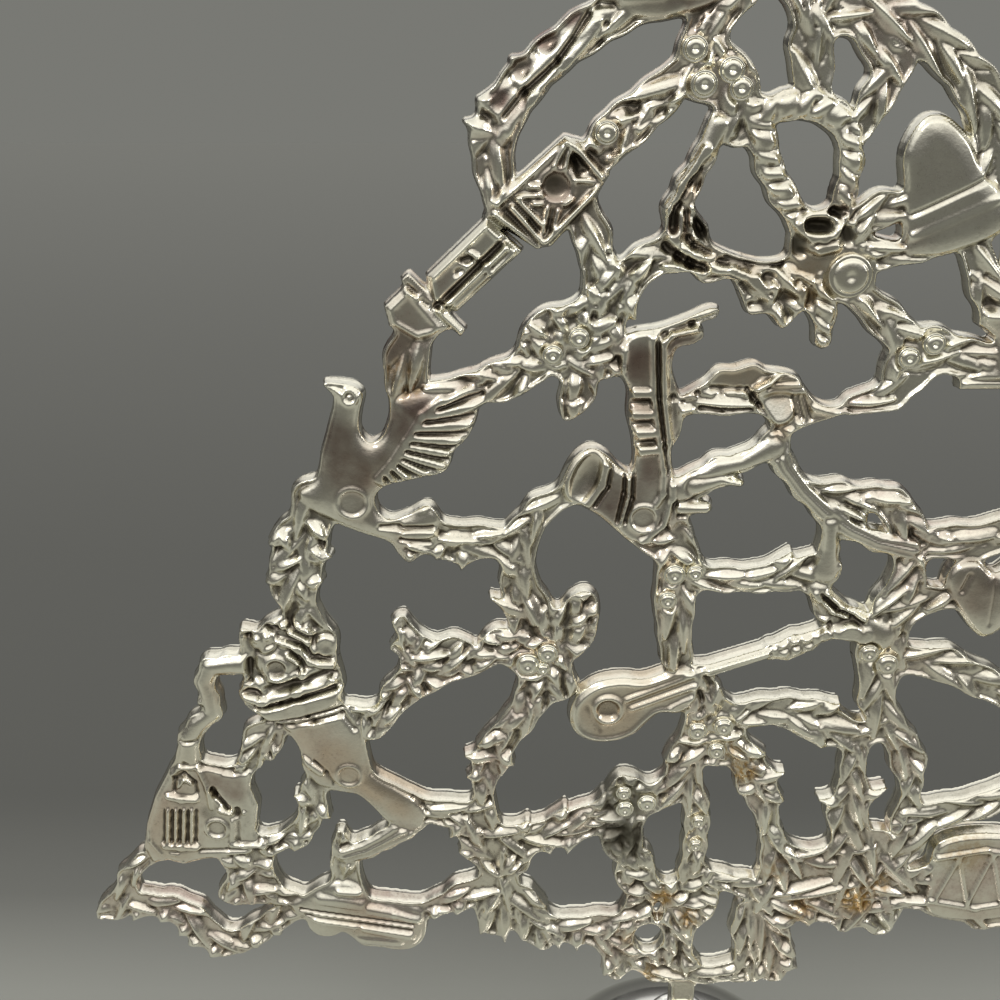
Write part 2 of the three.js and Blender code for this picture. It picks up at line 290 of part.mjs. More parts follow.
// Closed outlines of the ornaments.
const figures = {
  lanternHead: { corners: true, outline: [[-23.1, 182.3], [-21.4, 181.8], [-17.4, 177.2], [-18.6, 175],
    [-24.6, 168.2], [-26.6, 167.8], [-33.2, 172.2], [-32.2, 174.2]] },
  lanternPole: { corners: true, outline: [[-33.2, 171.8], [-41.2, 164.2], [-40.6, 160.6], [-37.2, 159.4],
    [-28.4, 167.6]] },
  lanternFlare: { corners: true, outline: [[-44.6, 163.6], [-43.6, 164.6], [-36, 156.8],
    [-36.8, 155.9]] },
  lanternCup: { corners: true, outline: [[-43.6, 163.2], [-47, 160], [-46.4, 157.4], [-42.8, 155.2],
    [-40.4, 155.8], [-38.4, 157]] },
  dove: { corners: false, outline: [[-55.8, 149.2], [-53.4, 149.3], [-51.4, 148.8], [-50.4, 147.6],
    [-50.9, 145], [-51.1, 142.4], [-49.7, 140.6], [-48, 141.4], [-46.9, 144], [-46.4, 147], [-43, 148.2],
    [-38, 148.6], [-33.4, 147.6], [-34.4, 145.6], [-35, 143.2], [-36.2, 141], [-37.9, 139.2],
    [-39, 136.4], [-43.6, 135], [-48, 133.8], [-49.3, 132.2], [-48.8, 129.9], [-47.2, 128.8],
    [-44.6, 129.6], [-41.8, 131], [-40.4, 129.6], [-40, 127], [-40.6, 124], [-42.9, 123], [-44.7, 121.8],
    [-46.2, 123.2], [-47.4, 125], [-52, 126.8], [-56.4, 128.8], [-59.4, 130.6], [-60.4, 133],
    [-57.6, 135.2], [-56.6, 139], [-55.4, 143], [-54.5, 147.2]] },
  saxophone: { corners: false, outline: [[-3, 159.9], [-1.9, 159.6], [-2.2, 158.6], [-4.2, 157.7],
    [-3.7, 156], [-5, 154.9], [-7.2, 154.2], [-7.8, 151.4], [-6.8, 148], [-5.9, 145.6], [-6.1, 142],
    [-7.2, 139.4], [-6.8, 135], [-6.6, 130.6], [-7.4, 127.6], [-9.4, 125.7], [-12.4, 125.2], [-14.6, 127],
    [-17.2, 129.3], [-19.9, 130.9], [-21.9, 131.8], [-22.8, 133.8], [-22.2, 136], [-20.8, 138.4],
    [-18.6, 139.8], [-16.4, 138.8], [-14.6, 136.9], [-12.9, 136], [-12.4, 137.6], [-12.7, 141],
    [-13.6, 144.6], [-13.7, 148.4], [-15.2, 151], [-15, 154.4], [-13.6, 156.4], [-9.8, 157.2],
    [-6, 158.6]] },
  guitarBody: { corners: false, outline: [[-0.4, 103], [-3.4, 104.3], [-6.4, 103.3], [-9.5, 102.2],
    [-13, 102.4], [-16.4, 101.7], [-18.9, 99.9], [-20.4, 97.4], [-20.6, 94.4], [-19.2, 92], [-16.4, 90.8],
    [-13.4, 91], [-10.6, 92.2], [-8.6, 94.4], [-6.8, 96], [-4.2, 96], [-2, 97.2], [-0.9, 99.8]] },
  guitarNeck: { corners: true, outline: [[-3, 103.6], [9.4, 107.9], [9.8, 106], [0.2, 102.4]] },
  guitarHead: { corners: true, outline: [[9.2, 107.8], [12.6, 109.9], [15.6, 110], [16.5, 108.8],
    [15.8, 107.2], [12.2, 105.3], [9.4, 105.8]] },
  stocking: { corners: false, outline: [[-71.3, 99.8], [-70.4, 97.2], [-67.8, 95], [-64.4, 92.4],
    [-62.8, 89.4], [-62.5, 86], [-60.6, 82.6], [-57, 81.5], [-54, 80.8], [-51.8, 78.6], [-49.6, 75.8],
    [-46.6, 73.9], [-43.8, 74.2], [-43.2, 77], [-44.4, 80.2], [-47.4, 82.4], [-51.2, 85], [-52, 88],
    [-52.6, 92], [-54.2, 96], [-55.8, 98.5], [-56, 101.2], [-58.6, 102.2], [-63.6, 101.2], [-68, 99.6]] },
  church: { corners: true, outline: [[-81, 88], [-83.6, 85.6], [-86.4, 80.4], [-88.2, 75.4],
    [-89.2, 70.6], [-88.2, 67.4], [-85.6, 68], [-83, 67.2], [-79.6, 68.2], [-73, 69], [-69.8, 71.2],
    [-70.8, 74], [-70, 78.8], [-70.9, 82], [-70.6, 85.6], [-74.4, 85], [-78.4, 86.4]] },
  bugle: { corners: false, outline: [[-66.4, 58.8], [-63, 61.4], [-60.2, 63.2], [-56.6, 63.8],
    [-54, 62.4], [-52.8, 60.3], [-49, 59.6], [-45.4, 58.8], [-43.9, 57], [-43.7, 54.2], [-44.3, 51.6],
    [-46, 49.7], [-48.6, 49.2], [-51.6, 49.8], [-54.6, 50.2], [-56.2, 51.9], [-57.8, 53], [-59.4, 52.2],
    [-61.6, 52.2], [-63.2, 53.6], [-64, 55.8], [-65.8, 57]] },
  crownBell: { corners: false, outline: [[-9.6, 212.6], [-7.4, 212], [-5.6, 208.6], [-5, 204.4],
    [-3.6, 200.6], [-3.4, 198.8], [-5.4, 197.6], [-8.6, 196.6], [-12, 196], [-15.6, 196.4],
    [-17.4, 197.8], [-16.6, 199.6], [-14, 202.6], [-12.4, 206.6], [-11.6, 211]] },
  crownStar: { star: [0, 244.6, 10.4, 4.4, 5, 90] },
  handBell: { corners: false, outline: [[22.6, 184.6], [25, 184.8], [28.6, 182], [31.4, 177.6],
    [34.6, 174.6], [36, 172], [34, 169.6], [29.6, 167.6], [25.4, 166.6], [22.2, 167.2], [21.4, 170.4],
    [21, 175.4], [20.4, 180.4]] },
  candle: { corners: true, outline: [[33.4, 160], [42.4, 160], [42.4, 157.6], [39.6, 156], [39.6, 152],
    [43.4, 150], [43.4, 148.4], [32, 148.4], [32, 150], [36, 152], [36, 156], [33.4, 157.6]] },
  candleFlame: { corners: false, outline: [[37.8, 171.6], [39.8, 167.8], [39.8, 164], [39.8, 159],
    [36, 159], [36, 164], [36, 167.8]] },
  snowStar: { star: [52.6, 140, 11.2, 4.8, 6, 90] },
  heart: { corners: false, outline: [[41.4, 109.4], [36.6, 114.2], [34.2, 118.6], [35.4, 121.8],
    [38.4, 122.4], [41.4, 120.2], [44.4, 122.4], [47.4, 121.8], [48.6, 118.6], [46.2, 114.2]] },
  giftBox: { corners: true, outline: [[53, 86.4], [70.4, 86.4], [70.4, 99.8], [71.8, 99.8], [71.8, 104.4],
    [51.6, 104.4], [51.6, 99.8], [53, 99.8]] },
  giftBow: { corners: false, outline: [[61.7, 104], [66, 103.6], [69.4, 106], [69.2, 110.4], [66, 111],
    [61.7, 107.6], [57.4, 111], [54.2, 110.4], [54, 106], [57.4, 103.6]] },
  drum: { corners: false, outline: [[39.6, 57.4], [47.2, 55.6], [54.8, 57.4], [55.4, 64], [54.8, 71.4],
    [47.2, 73.4], [39.6, 71.4], [39, 64]] },
  fir: { corners: true, outline: [[82, 88.4], [76.8, 81.6], [79, 81.6], [74, 75.4], [76.4, 75.4],
    [72.4, 69], [89.8, 69], [86.4, 75.4], [88, 75.4], [84.8, 81.6], [86.2, 81.6]] },
};

// Gaps cut through the casting after everything is joined: x, z, half width, half height.
const cutouts = [[-6.4, 51.8, 2.5, 3], [-5.1, 57.4, 0.9, 1.9]];

// The grid that the casting's outline is traced on.
const gridStep = 0.9;
const gridMargin = 3.0;
const outlineTolerance = 0.24;
const smallestGap = 1.6; // square millimetres; smaller gaps are filled by the metal
const curveSteps = 3;

// Round curve through a closed row of points.
function smoothOutline(points) {
  const corners = points.map(([x, z]) => new THREE.Vector3(x, z, 0));
  const curve = new THREE.CatmullRomCurve3(corners, true, "centripetal");
  return curve.getPoints(points.length * curveSteps).slice(0, -1).map((p) => [p.x, p.y]);
}

// Star with rounded-off arms: centre, outer and inner radius, number of arms and the first arm's direction.
function starOutline([x, z, outer, inner, arms, turn]) {
  return Array.from({ length: arms * 2 }, (unused, i) => {
    const angle = THREE.MathUtils.degToRad(turn + (i * 180) / arms);
    const radius = i % 2 === 0 ? outer : inner;
    return [x + radius * Math.cos(angle), z + radius * Math.sin(angle)];
  });
}

function figureOutline(figure) {
  if (figure.star) return starOutline(figure.star);
  return figure.corners ? figure.outline : smoothOutline(figure.outline);
}

// Distance from a point to the outside of a tapering stroke, negative inside it.
function strokeDistance(x, z, [ax, az, aw], [bx, bz, bw]) {
  const dx = bx - ax;
  const dz = bz - az;
  const along = ((x - ax) * dx + (z - az) * dz) / (dx * dx + dz * dz);
  const t = Math.min(1, Math.max(0, along));
  return Math.hypot(x - ax - t * dx, z - az - t * dz) - (aw + t * (bw - aw)) / 2;
}

// Distance from a point to a closed outline, negative inside it.
function outlineDistance(x, z, outline) {
  let nearest = Infinity;
  let inside = false;
  outline.forEach(([bx, bz], i) => {
    const [ax, az] = outline[(i + outline.length - 1) % outline.length];
    const dx = bx - ax;
    const dz = bz - az;
    const t = Math.min(1, Math.max(0, ((x - ax) * dx + (z - az) * dz) / (dx * dx + dz * dz)));
    nearest = Math.min(nearest, Math.hypot(x - ax - t * dx, z - az - t * dz));
    if (az > z !== bz > z && x < ax + (dx * (z - az)) / dz) inside = !inside;
  });
  return inside ? -nearest : nearest;
}

// Two distances joined with a fillet of the given width.
function joinSoftly(a, b, width) {
  const h = Math.max(0, width - Math.abs(a - b)) / width;
  return Math.min(a, b) - (h * h * width) / 4;
}

// A sheet of distances over the drawing, to which shapes are added one by one.
class Sheet {
  constructor(low, high) {
    this.low = low;
    this.columns = Math.ceil((high[0] - low[0]) / gridStep) + 1;
    this.rows = Math.ceil((high[1] - low[1]) / gridStep) + 1;
    this.values = new Float64Array(this.columns * this.rows).fill(gridMargin);
  }

  add(points, reach, distance, width) {
    const xs = points.map((p) => p[0]);
    const zs = points.map((p) => p[1]);
    const grow = reach + gridMargin;
    const first = (value, low) => Math.max(0, Math.floor((value - grow - low) / gridStep));
    const last = (value, low, count) => Math.min(count - 1, Math.ceil((value + grow - low) / gridStep));
    const firstRow = first(Math.min(...zs), this.low[1]);
    const lastRow = last(Math.max(...zs), this.low[1], this.rows);
    const firstColumn = first(Math.min(...xs), this.low[0]);
    const lastColumn = last(Math.max(...xs), this.low[0], this.columns);
    for (let j = firstRow; j <= lastRow; j++)
      for (let i = firstColumn; i <= lastColumn; i++) {
        const at = j * this.columns + i;
        const found = distance(this.low[0] + i * gridStep, this.low[1] + j * gridStep);
        this.values[at] = joinSoftly(this.values[at], found, width);
      }
  }

  addStroke(rows) {
    for (let i = 1; i < rows.length; i++)
      this.add([rows[i - 1], rows[i]], Math.max(rows[i - 1][2], rows[i][2]) / 2,
        (x, z) => strokeDistance(x, z, rows[i - 1], rows[i]), filletWidth);
  }

  addDisc(x0, z0, radius) {
    this.add([[x0, z0]], radius, (x, z) => Math.hypot(x - x0, z - z0) - radius, filletWidth);
  }

  addOutline(outline, inset) {
    this.add(outline, 0, (x, z) => outlineDistance(x, z, outline) + inset, filletWidth);
  }

  cutEllipse([x0, z0, halfWidth, halfHeight]) {
    for (let j = 0; j < this.rows; j++)
      for (let i = 0; i < this.columns; i++) {
        const dx = (this.low[0] + i * gridStep - x0) / halfWidth;
        const dz = (this.low[1] + j * gridStep - z0) / halfHeight;
        const depth = (1 - Math.hypot(dx, dz)) * Math.min(halfWidth, halfHeight);
        const at = j * this.columns + i;
        this.values[at] = Math.max(this.values[at], depth);
      }
  }

  // Closed loops round the inside, walked from triangle to triangle; the metal is on the left of each loop.
  loops() {
    const value = (at) => this.values[at] || 1e-9;
    const spot = (at) => [at % this.columns, Math.floor(at / this.columns)];
    const crossing = (a, b) => {
      const t = value(a) / (value(a) - value(b));
      const [ia, ja] = spot(a);
      const [ib, jb] = spot(b);
      return [this.low[0] + (ia + t * (ib - ia)) * gridStep, this.low[1] + (ja + t * (jb - ja)) * gridStep];
    };
    const edgeKey = (a, b) => Math.min(a, b) * this.values.length + Math.max(a, b);
    const next = new Map();
    const walkTriangle = (corners) => {
      const edges = corners.map((at, k) => [at, corners[(k + 1) % 3]]);
      const leaving = edges.find(([a, b]) => value(a) < 0 && value(b) >= 0);
      const entering = edges.find(([a, b]) => value(a) >= 0 && value(b) < 0);
      if (leaving) next.set(edgeKey(...leaving), { to: edgeKey(...entering), at: crossing(...leaving) });
    };
    for (let j = 0; j < this.rows - 1; j++)
      for (let i = 0; i < this.columns - 1; i++) {
        const at = j * this.columns + i;
        walkTriangle([at, at + 1, at + this.columns + 1]);
        walkTriangle([at, at + this.columns + 1, at + this.columns]);
      }
    const found = [];
    while (next.size) {
      const loop = [];
      for (let key = next.keys().next().value; next.has(key); ) {
        const step = next.get(key);
        next.delete(key);
        loop.push(step.at);
        key = step.to;
      }
      found.push(loop);
    }
    return found;
  }
}

// The points of an open row that its shape needs.
function simplifyRow(points) {
  const [ax, az] = points[0];
  const [bx, bz] = points[points.length - 1];
  const length = Math.hypot(bx - ax, bz - az) || 1;
  const offsets = points.map(([x, z]) => Math.abs((x - ax) * (bz - az) - (z - az) * (bx - ax)) / length);
  const farthest = offsets.indexOf(Math.max(...offsets));
  if (offsets[farthest] < outlineTolerance) return [points[0], points[points.length - 1]];
  return [...simplifyRow(points.slice(0, farthest + 1)).slice(0, -1), ...simplifyRow(points.slice(farthest))];
}

function simplifyLoop(loop) {
  const reaches = loop.map(([x, z]) => Math.hypot(x - loop[0][0], z - loop[0][1]));
  const far = reaches.indexOf(Math.max(...reaches));
  const there = simplifyRow(loop.slice(0, far + 1));
  const back = simplifyRow([...loop.slice(far), loop[0]]);
  return [...there.slice(0, -1), ...back.slice(0, -1)];
}

function loopArea(loop) {
  return THREE.ShapeUtils.area(loop.map(([x, z]) => new THREE.Vector2(x, z)));
}

// Where a height of the drawing comes on the casting.
function castingHeight(z) {
  return trunkFoot + (z - drawnFoot) * panelScale;
}

// A flat plate of the given thickness, centred on the drawing's plane, from loops round its metal.
function plateFromLoops(loops, thickness) {
  const toPoints = (loop) => loop.map(([x, z]) => new THREE.Vector2(x * panelScale, castingHeight(z)));
  const simple = loops.map(simplifyLoop);
  const kept = simple.filter((loop) => loop.length > 2 && Math.abs(loopArea(loop)) > smallestGap);
  const outer = kept.filter((loop) => loopArea(loop) > 0).sort((a, b) => loopArea(b) - loopArea(a));
  const holes = kept.filter((loop) => loopArea(loop) < 0);
  const shapes = outer.map((loop) => {
    const shape = new THREE.Shape(toPoints(loop));
    const inside = holes.filter((hole) => outlineDistance(...hole[0], loop) < 0);
    shape.holes = inside.map((hole) => new THREE.Path(toPoints(hole)));
    return shape;
  });
  return shapes.map((shape) =>
    new THREE.ExtrudeGeometry(shape, { depth: thickness, bevelEnabled: false, curveSegments: 1 })
      .rotateX(Math.PI / 2).translate(0, thickness / 2, 0));
}

// Solids: made from closed three.js geometry, joined and cut, and given back as geometry.
function solid(geometry) {
  const bare = geometry.index ? geometry.toNonIndexed() : geometry.clone();
  bare.deleteAttribute("normal");
  bare.deleteAttribute("uv");
  const merged = mergeVertices(bare, 1e-4);
  return new wasm.Manifold(new wasm.Mesh({
    numProp: 3,
    vertProperties: new Float32Array(merged.attributes.position.array),
    triVerts: new Uint32Array(merged.index.array),
  }));
}

function geometryOf(made) {
  const mesh = made.getMesh();
  const geometry = new THREE.BufferGeometry();
  geometry.setAttribute("position", new THREE.BufferAttribute(new Float32Array(mesh.vertProperties), 3));
  geometry.setIndex(new THREE.BufferAttribute(new Uint32Array(mesh.triVerts), 1));
  return geometry;
}

function joined(solids) {
  return solids.reduce((all, one) => all.add(one));
}

// A turned piece from its half section, rows of radius and height.
function turned(section, sides) {
  const points = section.map(([radius, height]) => new THREE.Vector2(radius, height));
  return solid(new THREE.LatheGeometry(points, sides).rotateX(Math.PI / 2));
}

// An upright disc or bar between two heights.
function disc(radius, low, high, sides) {
  return solid(new THREE.CylinderGeometry(radius, radius, high - low, sides).rotateX(Math.PI / 2)
    .translate(0, 0, (low + high) / 2));
}

function block(width, depth, low, high) {
  return solid(new THREE.BoxGeometry(width, depth, high - low).translate(0, 0, (low + high) / 2));
}

// The casting: branches, leaves, patches and ornaments flow together; ornaments and berries stand proud.
function makeTreePanel() {
  const mirrored = mirroredBranches.map((name) => branches[name].map(([x, z, width]) => [-x, z, width]));
  const strokes = [...Object.values(branches), ...mirrored, ...Object.values(ownBranches)];
  const leafStrokes = leaves.map(([x0, z0, x1, z1, width]) => [[x0, z0, width], [x1, z1, leafTipWidth]]);
  const figureOutlines = Object.values(figures).map(figureOutline);
  const patchOutlines = Object.values(patches).map(smoothOutline);
  const everywhere = [...strokes, ...figureOutlines, ...patchOutlines].flat();
  const low = [0, 1].map((k) => Math.min(...everywhere.map((p) => p[k])) - 2 * gridMargin);
  const high = [0, 1].map((k) => Math.max(...everywhere.map((p) => p[k])) + 2 * gridMargin);

  const body = new Sheet(low, high);
  [...strokes, ...leafStrokes].forEach((rows) => body.addStroke(rows));
  [...patchOutlines, ...figureOutlines].forEach((outline) => body.addOutline(outline, 0));
  berries.forEach(([x, z, radius]) => body.addDisc(x, z, radius + berryWeb));
  cutouts.forEach((cut) => body.cutEllipse(cut));

  const raised = new Sheet(low, high);
  figureOutlines.forEach((outline) => raised.addOutline(outline, figureInset));

  const plates = plateFromLoops(body.loops(), panelThickness).map(solid);
  const proud = plateFromLoops(raised.loops(), panelThickness + 2 * figureRelief).map(solid);
  const beads = berries.map(([x, z, radius]) =>
    solid(new THREE.CylinderGeometry(radius, radius, panelThickness + 2 * berryRelief, berrySides)
      .translate(x * panelScale, 0, castingHeight(z))));
  const trunk = block(trunkWidth, panelThickness, trunkFoot, trunkFoot + trunkHeight * panelScale);
  const tang = block(tangWidth, tangThickness, tangFoot, trunkFoot + trunkWidth);
  return joined([...plates, ...proud, ...beads, trunk, tang]);
}

// The socket that the tang drops into, with the threaded shank that pulls the base together.
function makeTrunkSocket() {
  const collar = turned([[0, collarBottom], [collarRadius, collarBottom],
    [collarRadius, collarBottom + collarHeight * collarShoulder],
    [collarTopRadius, collarTop], [0, collarTop]], smallSides);
  const shank = disc(shankRadius, plateTop + seatGap, collarBottom + collarHeight / 2, smallSides);
  const slot = block(tangWidth + 2 * slotClearance, tangThickness + 2 * slotClearance,
    tangFoot - slotFloor, collarTop + collarHeight);
  return collar.add(shank).subtract(slot);
}

function makeBaseDome() {
  const arc = (radius, from, to) => Array.from({ length: domeSteps + 1 }, (unused, i) => {
    const angle = from + ((to - from) * i) / domeSteps;
    return [radius * Math.cos(angle), domeCentre + radius * Math.sin(angle)];
  });
  const hole = shankRadius + boreClearance;
  const outerEnd = Math.acos(hole / domeRadius);
  const innerEnd = Math.acos(hole / (domeRadius - domeWall));
  return turned([[domeRadius - domeWall, domeBottom], [domeRadius, domeBottom],
    ...arc(domeRadius, 0, outerEnd), ...arc(domeRadius - domeWall, innerEnd, 0),
    [domeRadius - domeWall, domeBottom]], roundSides);
}

function makePlinthRing() {
  const bore = domeRadius + seatGap;
  const seat = plateRadius + seatGap;
  const shoulder = plinthRadius - plinthLip;
  return turned([[bore, domeBottom], [seat, domeBottom], [seat, plinthBottom],
    [plinthRadius - plinthBead, plinthBottom], [plinthRadius, plinthBottom + plinthBead],
    [plinthRadius, plinthBottom + plinthHeight * plinthStepLow],
    [shoulder, plinthBottom + plinthHeight * plinthStepHigh], [shoulder, plinthTop - plinthBead],
    [shoulder - plinthBead, plinthTop], [bore, plinthTop], [bore, domeBottom]], roundSides);
}

function makeBaseWeight() {
  const radius = domeRadius - domeWall - weightGap;
  const bore = shankRadius + boreClearance;
  const pocket = washerRadius + boreClearance;
  const rise = weightTop - domeCentre;
  const bend = rise * weightShoulder;
  return turned([[pocket, weightBottom], [radius, weightBottom], [radius, domeCentre],
    [Math.sqrt(radius * radius - bend * bend), domeCentre + bend],
    [Math.sqrt(radius * radius - rise * rise), weightTop],
    [bore, weightTop], [bore, weightSeat], [pocket, weightSeat], [pocket, weightBottom]], roundSides);
}

function makeSocketWasher() {
  const plate = disc(washerRadius, washerBottom, washerBottom + washerThickness, smallSides);
  return plate.subtract(disc(shankRadius + boreClearance, washerBottom - cutOverrun, weightSeat, smallSides));
}

function makeSocketNut() {
  const nut = disc(nutAcrossFlats / Math.sqrt(3), nutBottom, nutBottom + nutHeight, 6);
  return nut.subtract(disc(shankRadius + boreClearance, nutBottom - cutOverrun, washerBottom, smallSides));
}

const tree = new THREE.Group();
const silver = { color: 0xd9d6cb, roughness: 0.22, metalness: 1.0 };
const steel = { color: 0x9a9b9e, roughness: 0.4, metalness: 1.0 };
const castIron = { color: 0x5b5b5d, roughness: 0.7, metalness: 0.8 };
const felt = { color: 0x1f3a2a, roughness: 1.0, metalness: 0.0 };

function place(name, made, finish) {
  const mesh = new THREE.Mesh(geometryOf(made), new THREE.MeshStandardMaterial(finish));
  mesh.name = name;
  tree.add(mesh);
}

place("tree_panel", makeTreePanel(), silver);
place("trunk_socket", makeTrunkSocket(), silver);
place("base_dome", makeBaseDome(), silver);
place("plinth_ring", makePlinthRing(), silver);
place("base_weight", makeBaseWeight(), castIron);
place("socket_washer", makeSocketWasher(), steel);
place("socket_nut", makeSocketNut(), steel);
place("bottom_plate", disc(plateRadius, plateBottom, plateTop, roundSides), steel);
place("felt_pad", disc(feltRadius, 0, feltThickness, roundSides), felt);

export default tree;
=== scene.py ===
"""Openwork silver christmas tree: a flat casting with toys, instruments and leaves on a domed base."""
import json
import math

import bpy
import numpy as np
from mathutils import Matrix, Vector

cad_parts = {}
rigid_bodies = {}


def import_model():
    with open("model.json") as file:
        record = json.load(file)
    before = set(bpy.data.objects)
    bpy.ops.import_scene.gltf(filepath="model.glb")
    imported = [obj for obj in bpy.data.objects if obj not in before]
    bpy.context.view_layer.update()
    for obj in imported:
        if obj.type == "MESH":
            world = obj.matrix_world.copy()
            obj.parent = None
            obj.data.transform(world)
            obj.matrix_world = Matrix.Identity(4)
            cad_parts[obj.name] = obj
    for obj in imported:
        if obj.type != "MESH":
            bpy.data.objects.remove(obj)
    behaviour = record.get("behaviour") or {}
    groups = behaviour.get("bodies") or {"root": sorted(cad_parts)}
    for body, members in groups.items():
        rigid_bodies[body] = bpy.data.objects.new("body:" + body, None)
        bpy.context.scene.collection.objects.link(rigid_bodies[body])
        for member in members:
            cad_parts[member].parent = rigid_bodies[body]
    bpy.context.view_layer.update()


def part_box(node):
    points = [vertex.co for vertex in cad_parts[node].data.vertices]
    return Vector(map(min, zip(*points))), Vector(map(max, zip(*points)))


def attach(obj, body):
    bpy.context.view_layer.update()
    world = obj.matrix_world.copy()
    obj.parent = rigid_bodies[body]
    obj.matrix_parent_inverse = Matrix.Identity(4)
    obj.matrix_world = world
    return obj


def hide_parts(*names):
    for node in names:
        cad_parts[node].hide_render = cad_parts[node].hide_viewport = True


bl_info = {
    "name": "Filigree Christmas Tree",
    "version": (1, 0, 0),
    "blender": (4, 5, 0),
    "location": "View3D > Sidebar > Filigree Tree",
    "description": "Builds the openwork cast tree, its domed base and a plain studio",
    "category": "Add Mesh",
}

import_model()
MM = 0.001


def number_rows(text):
    """Rows of numbers from plain text, with a comma between rows."""
    return [tuple(map(float, row.split())) for row in text.split(",")]


def named_rows(text):
    """Named shapes from plain text: a name and a colon, then the rows; a semicolon between shapes."""
    shapes = (shape.split(":") for shape in text.split(";"))
    return {name.strip(): number_rows(rows) for name, rows in shapes}


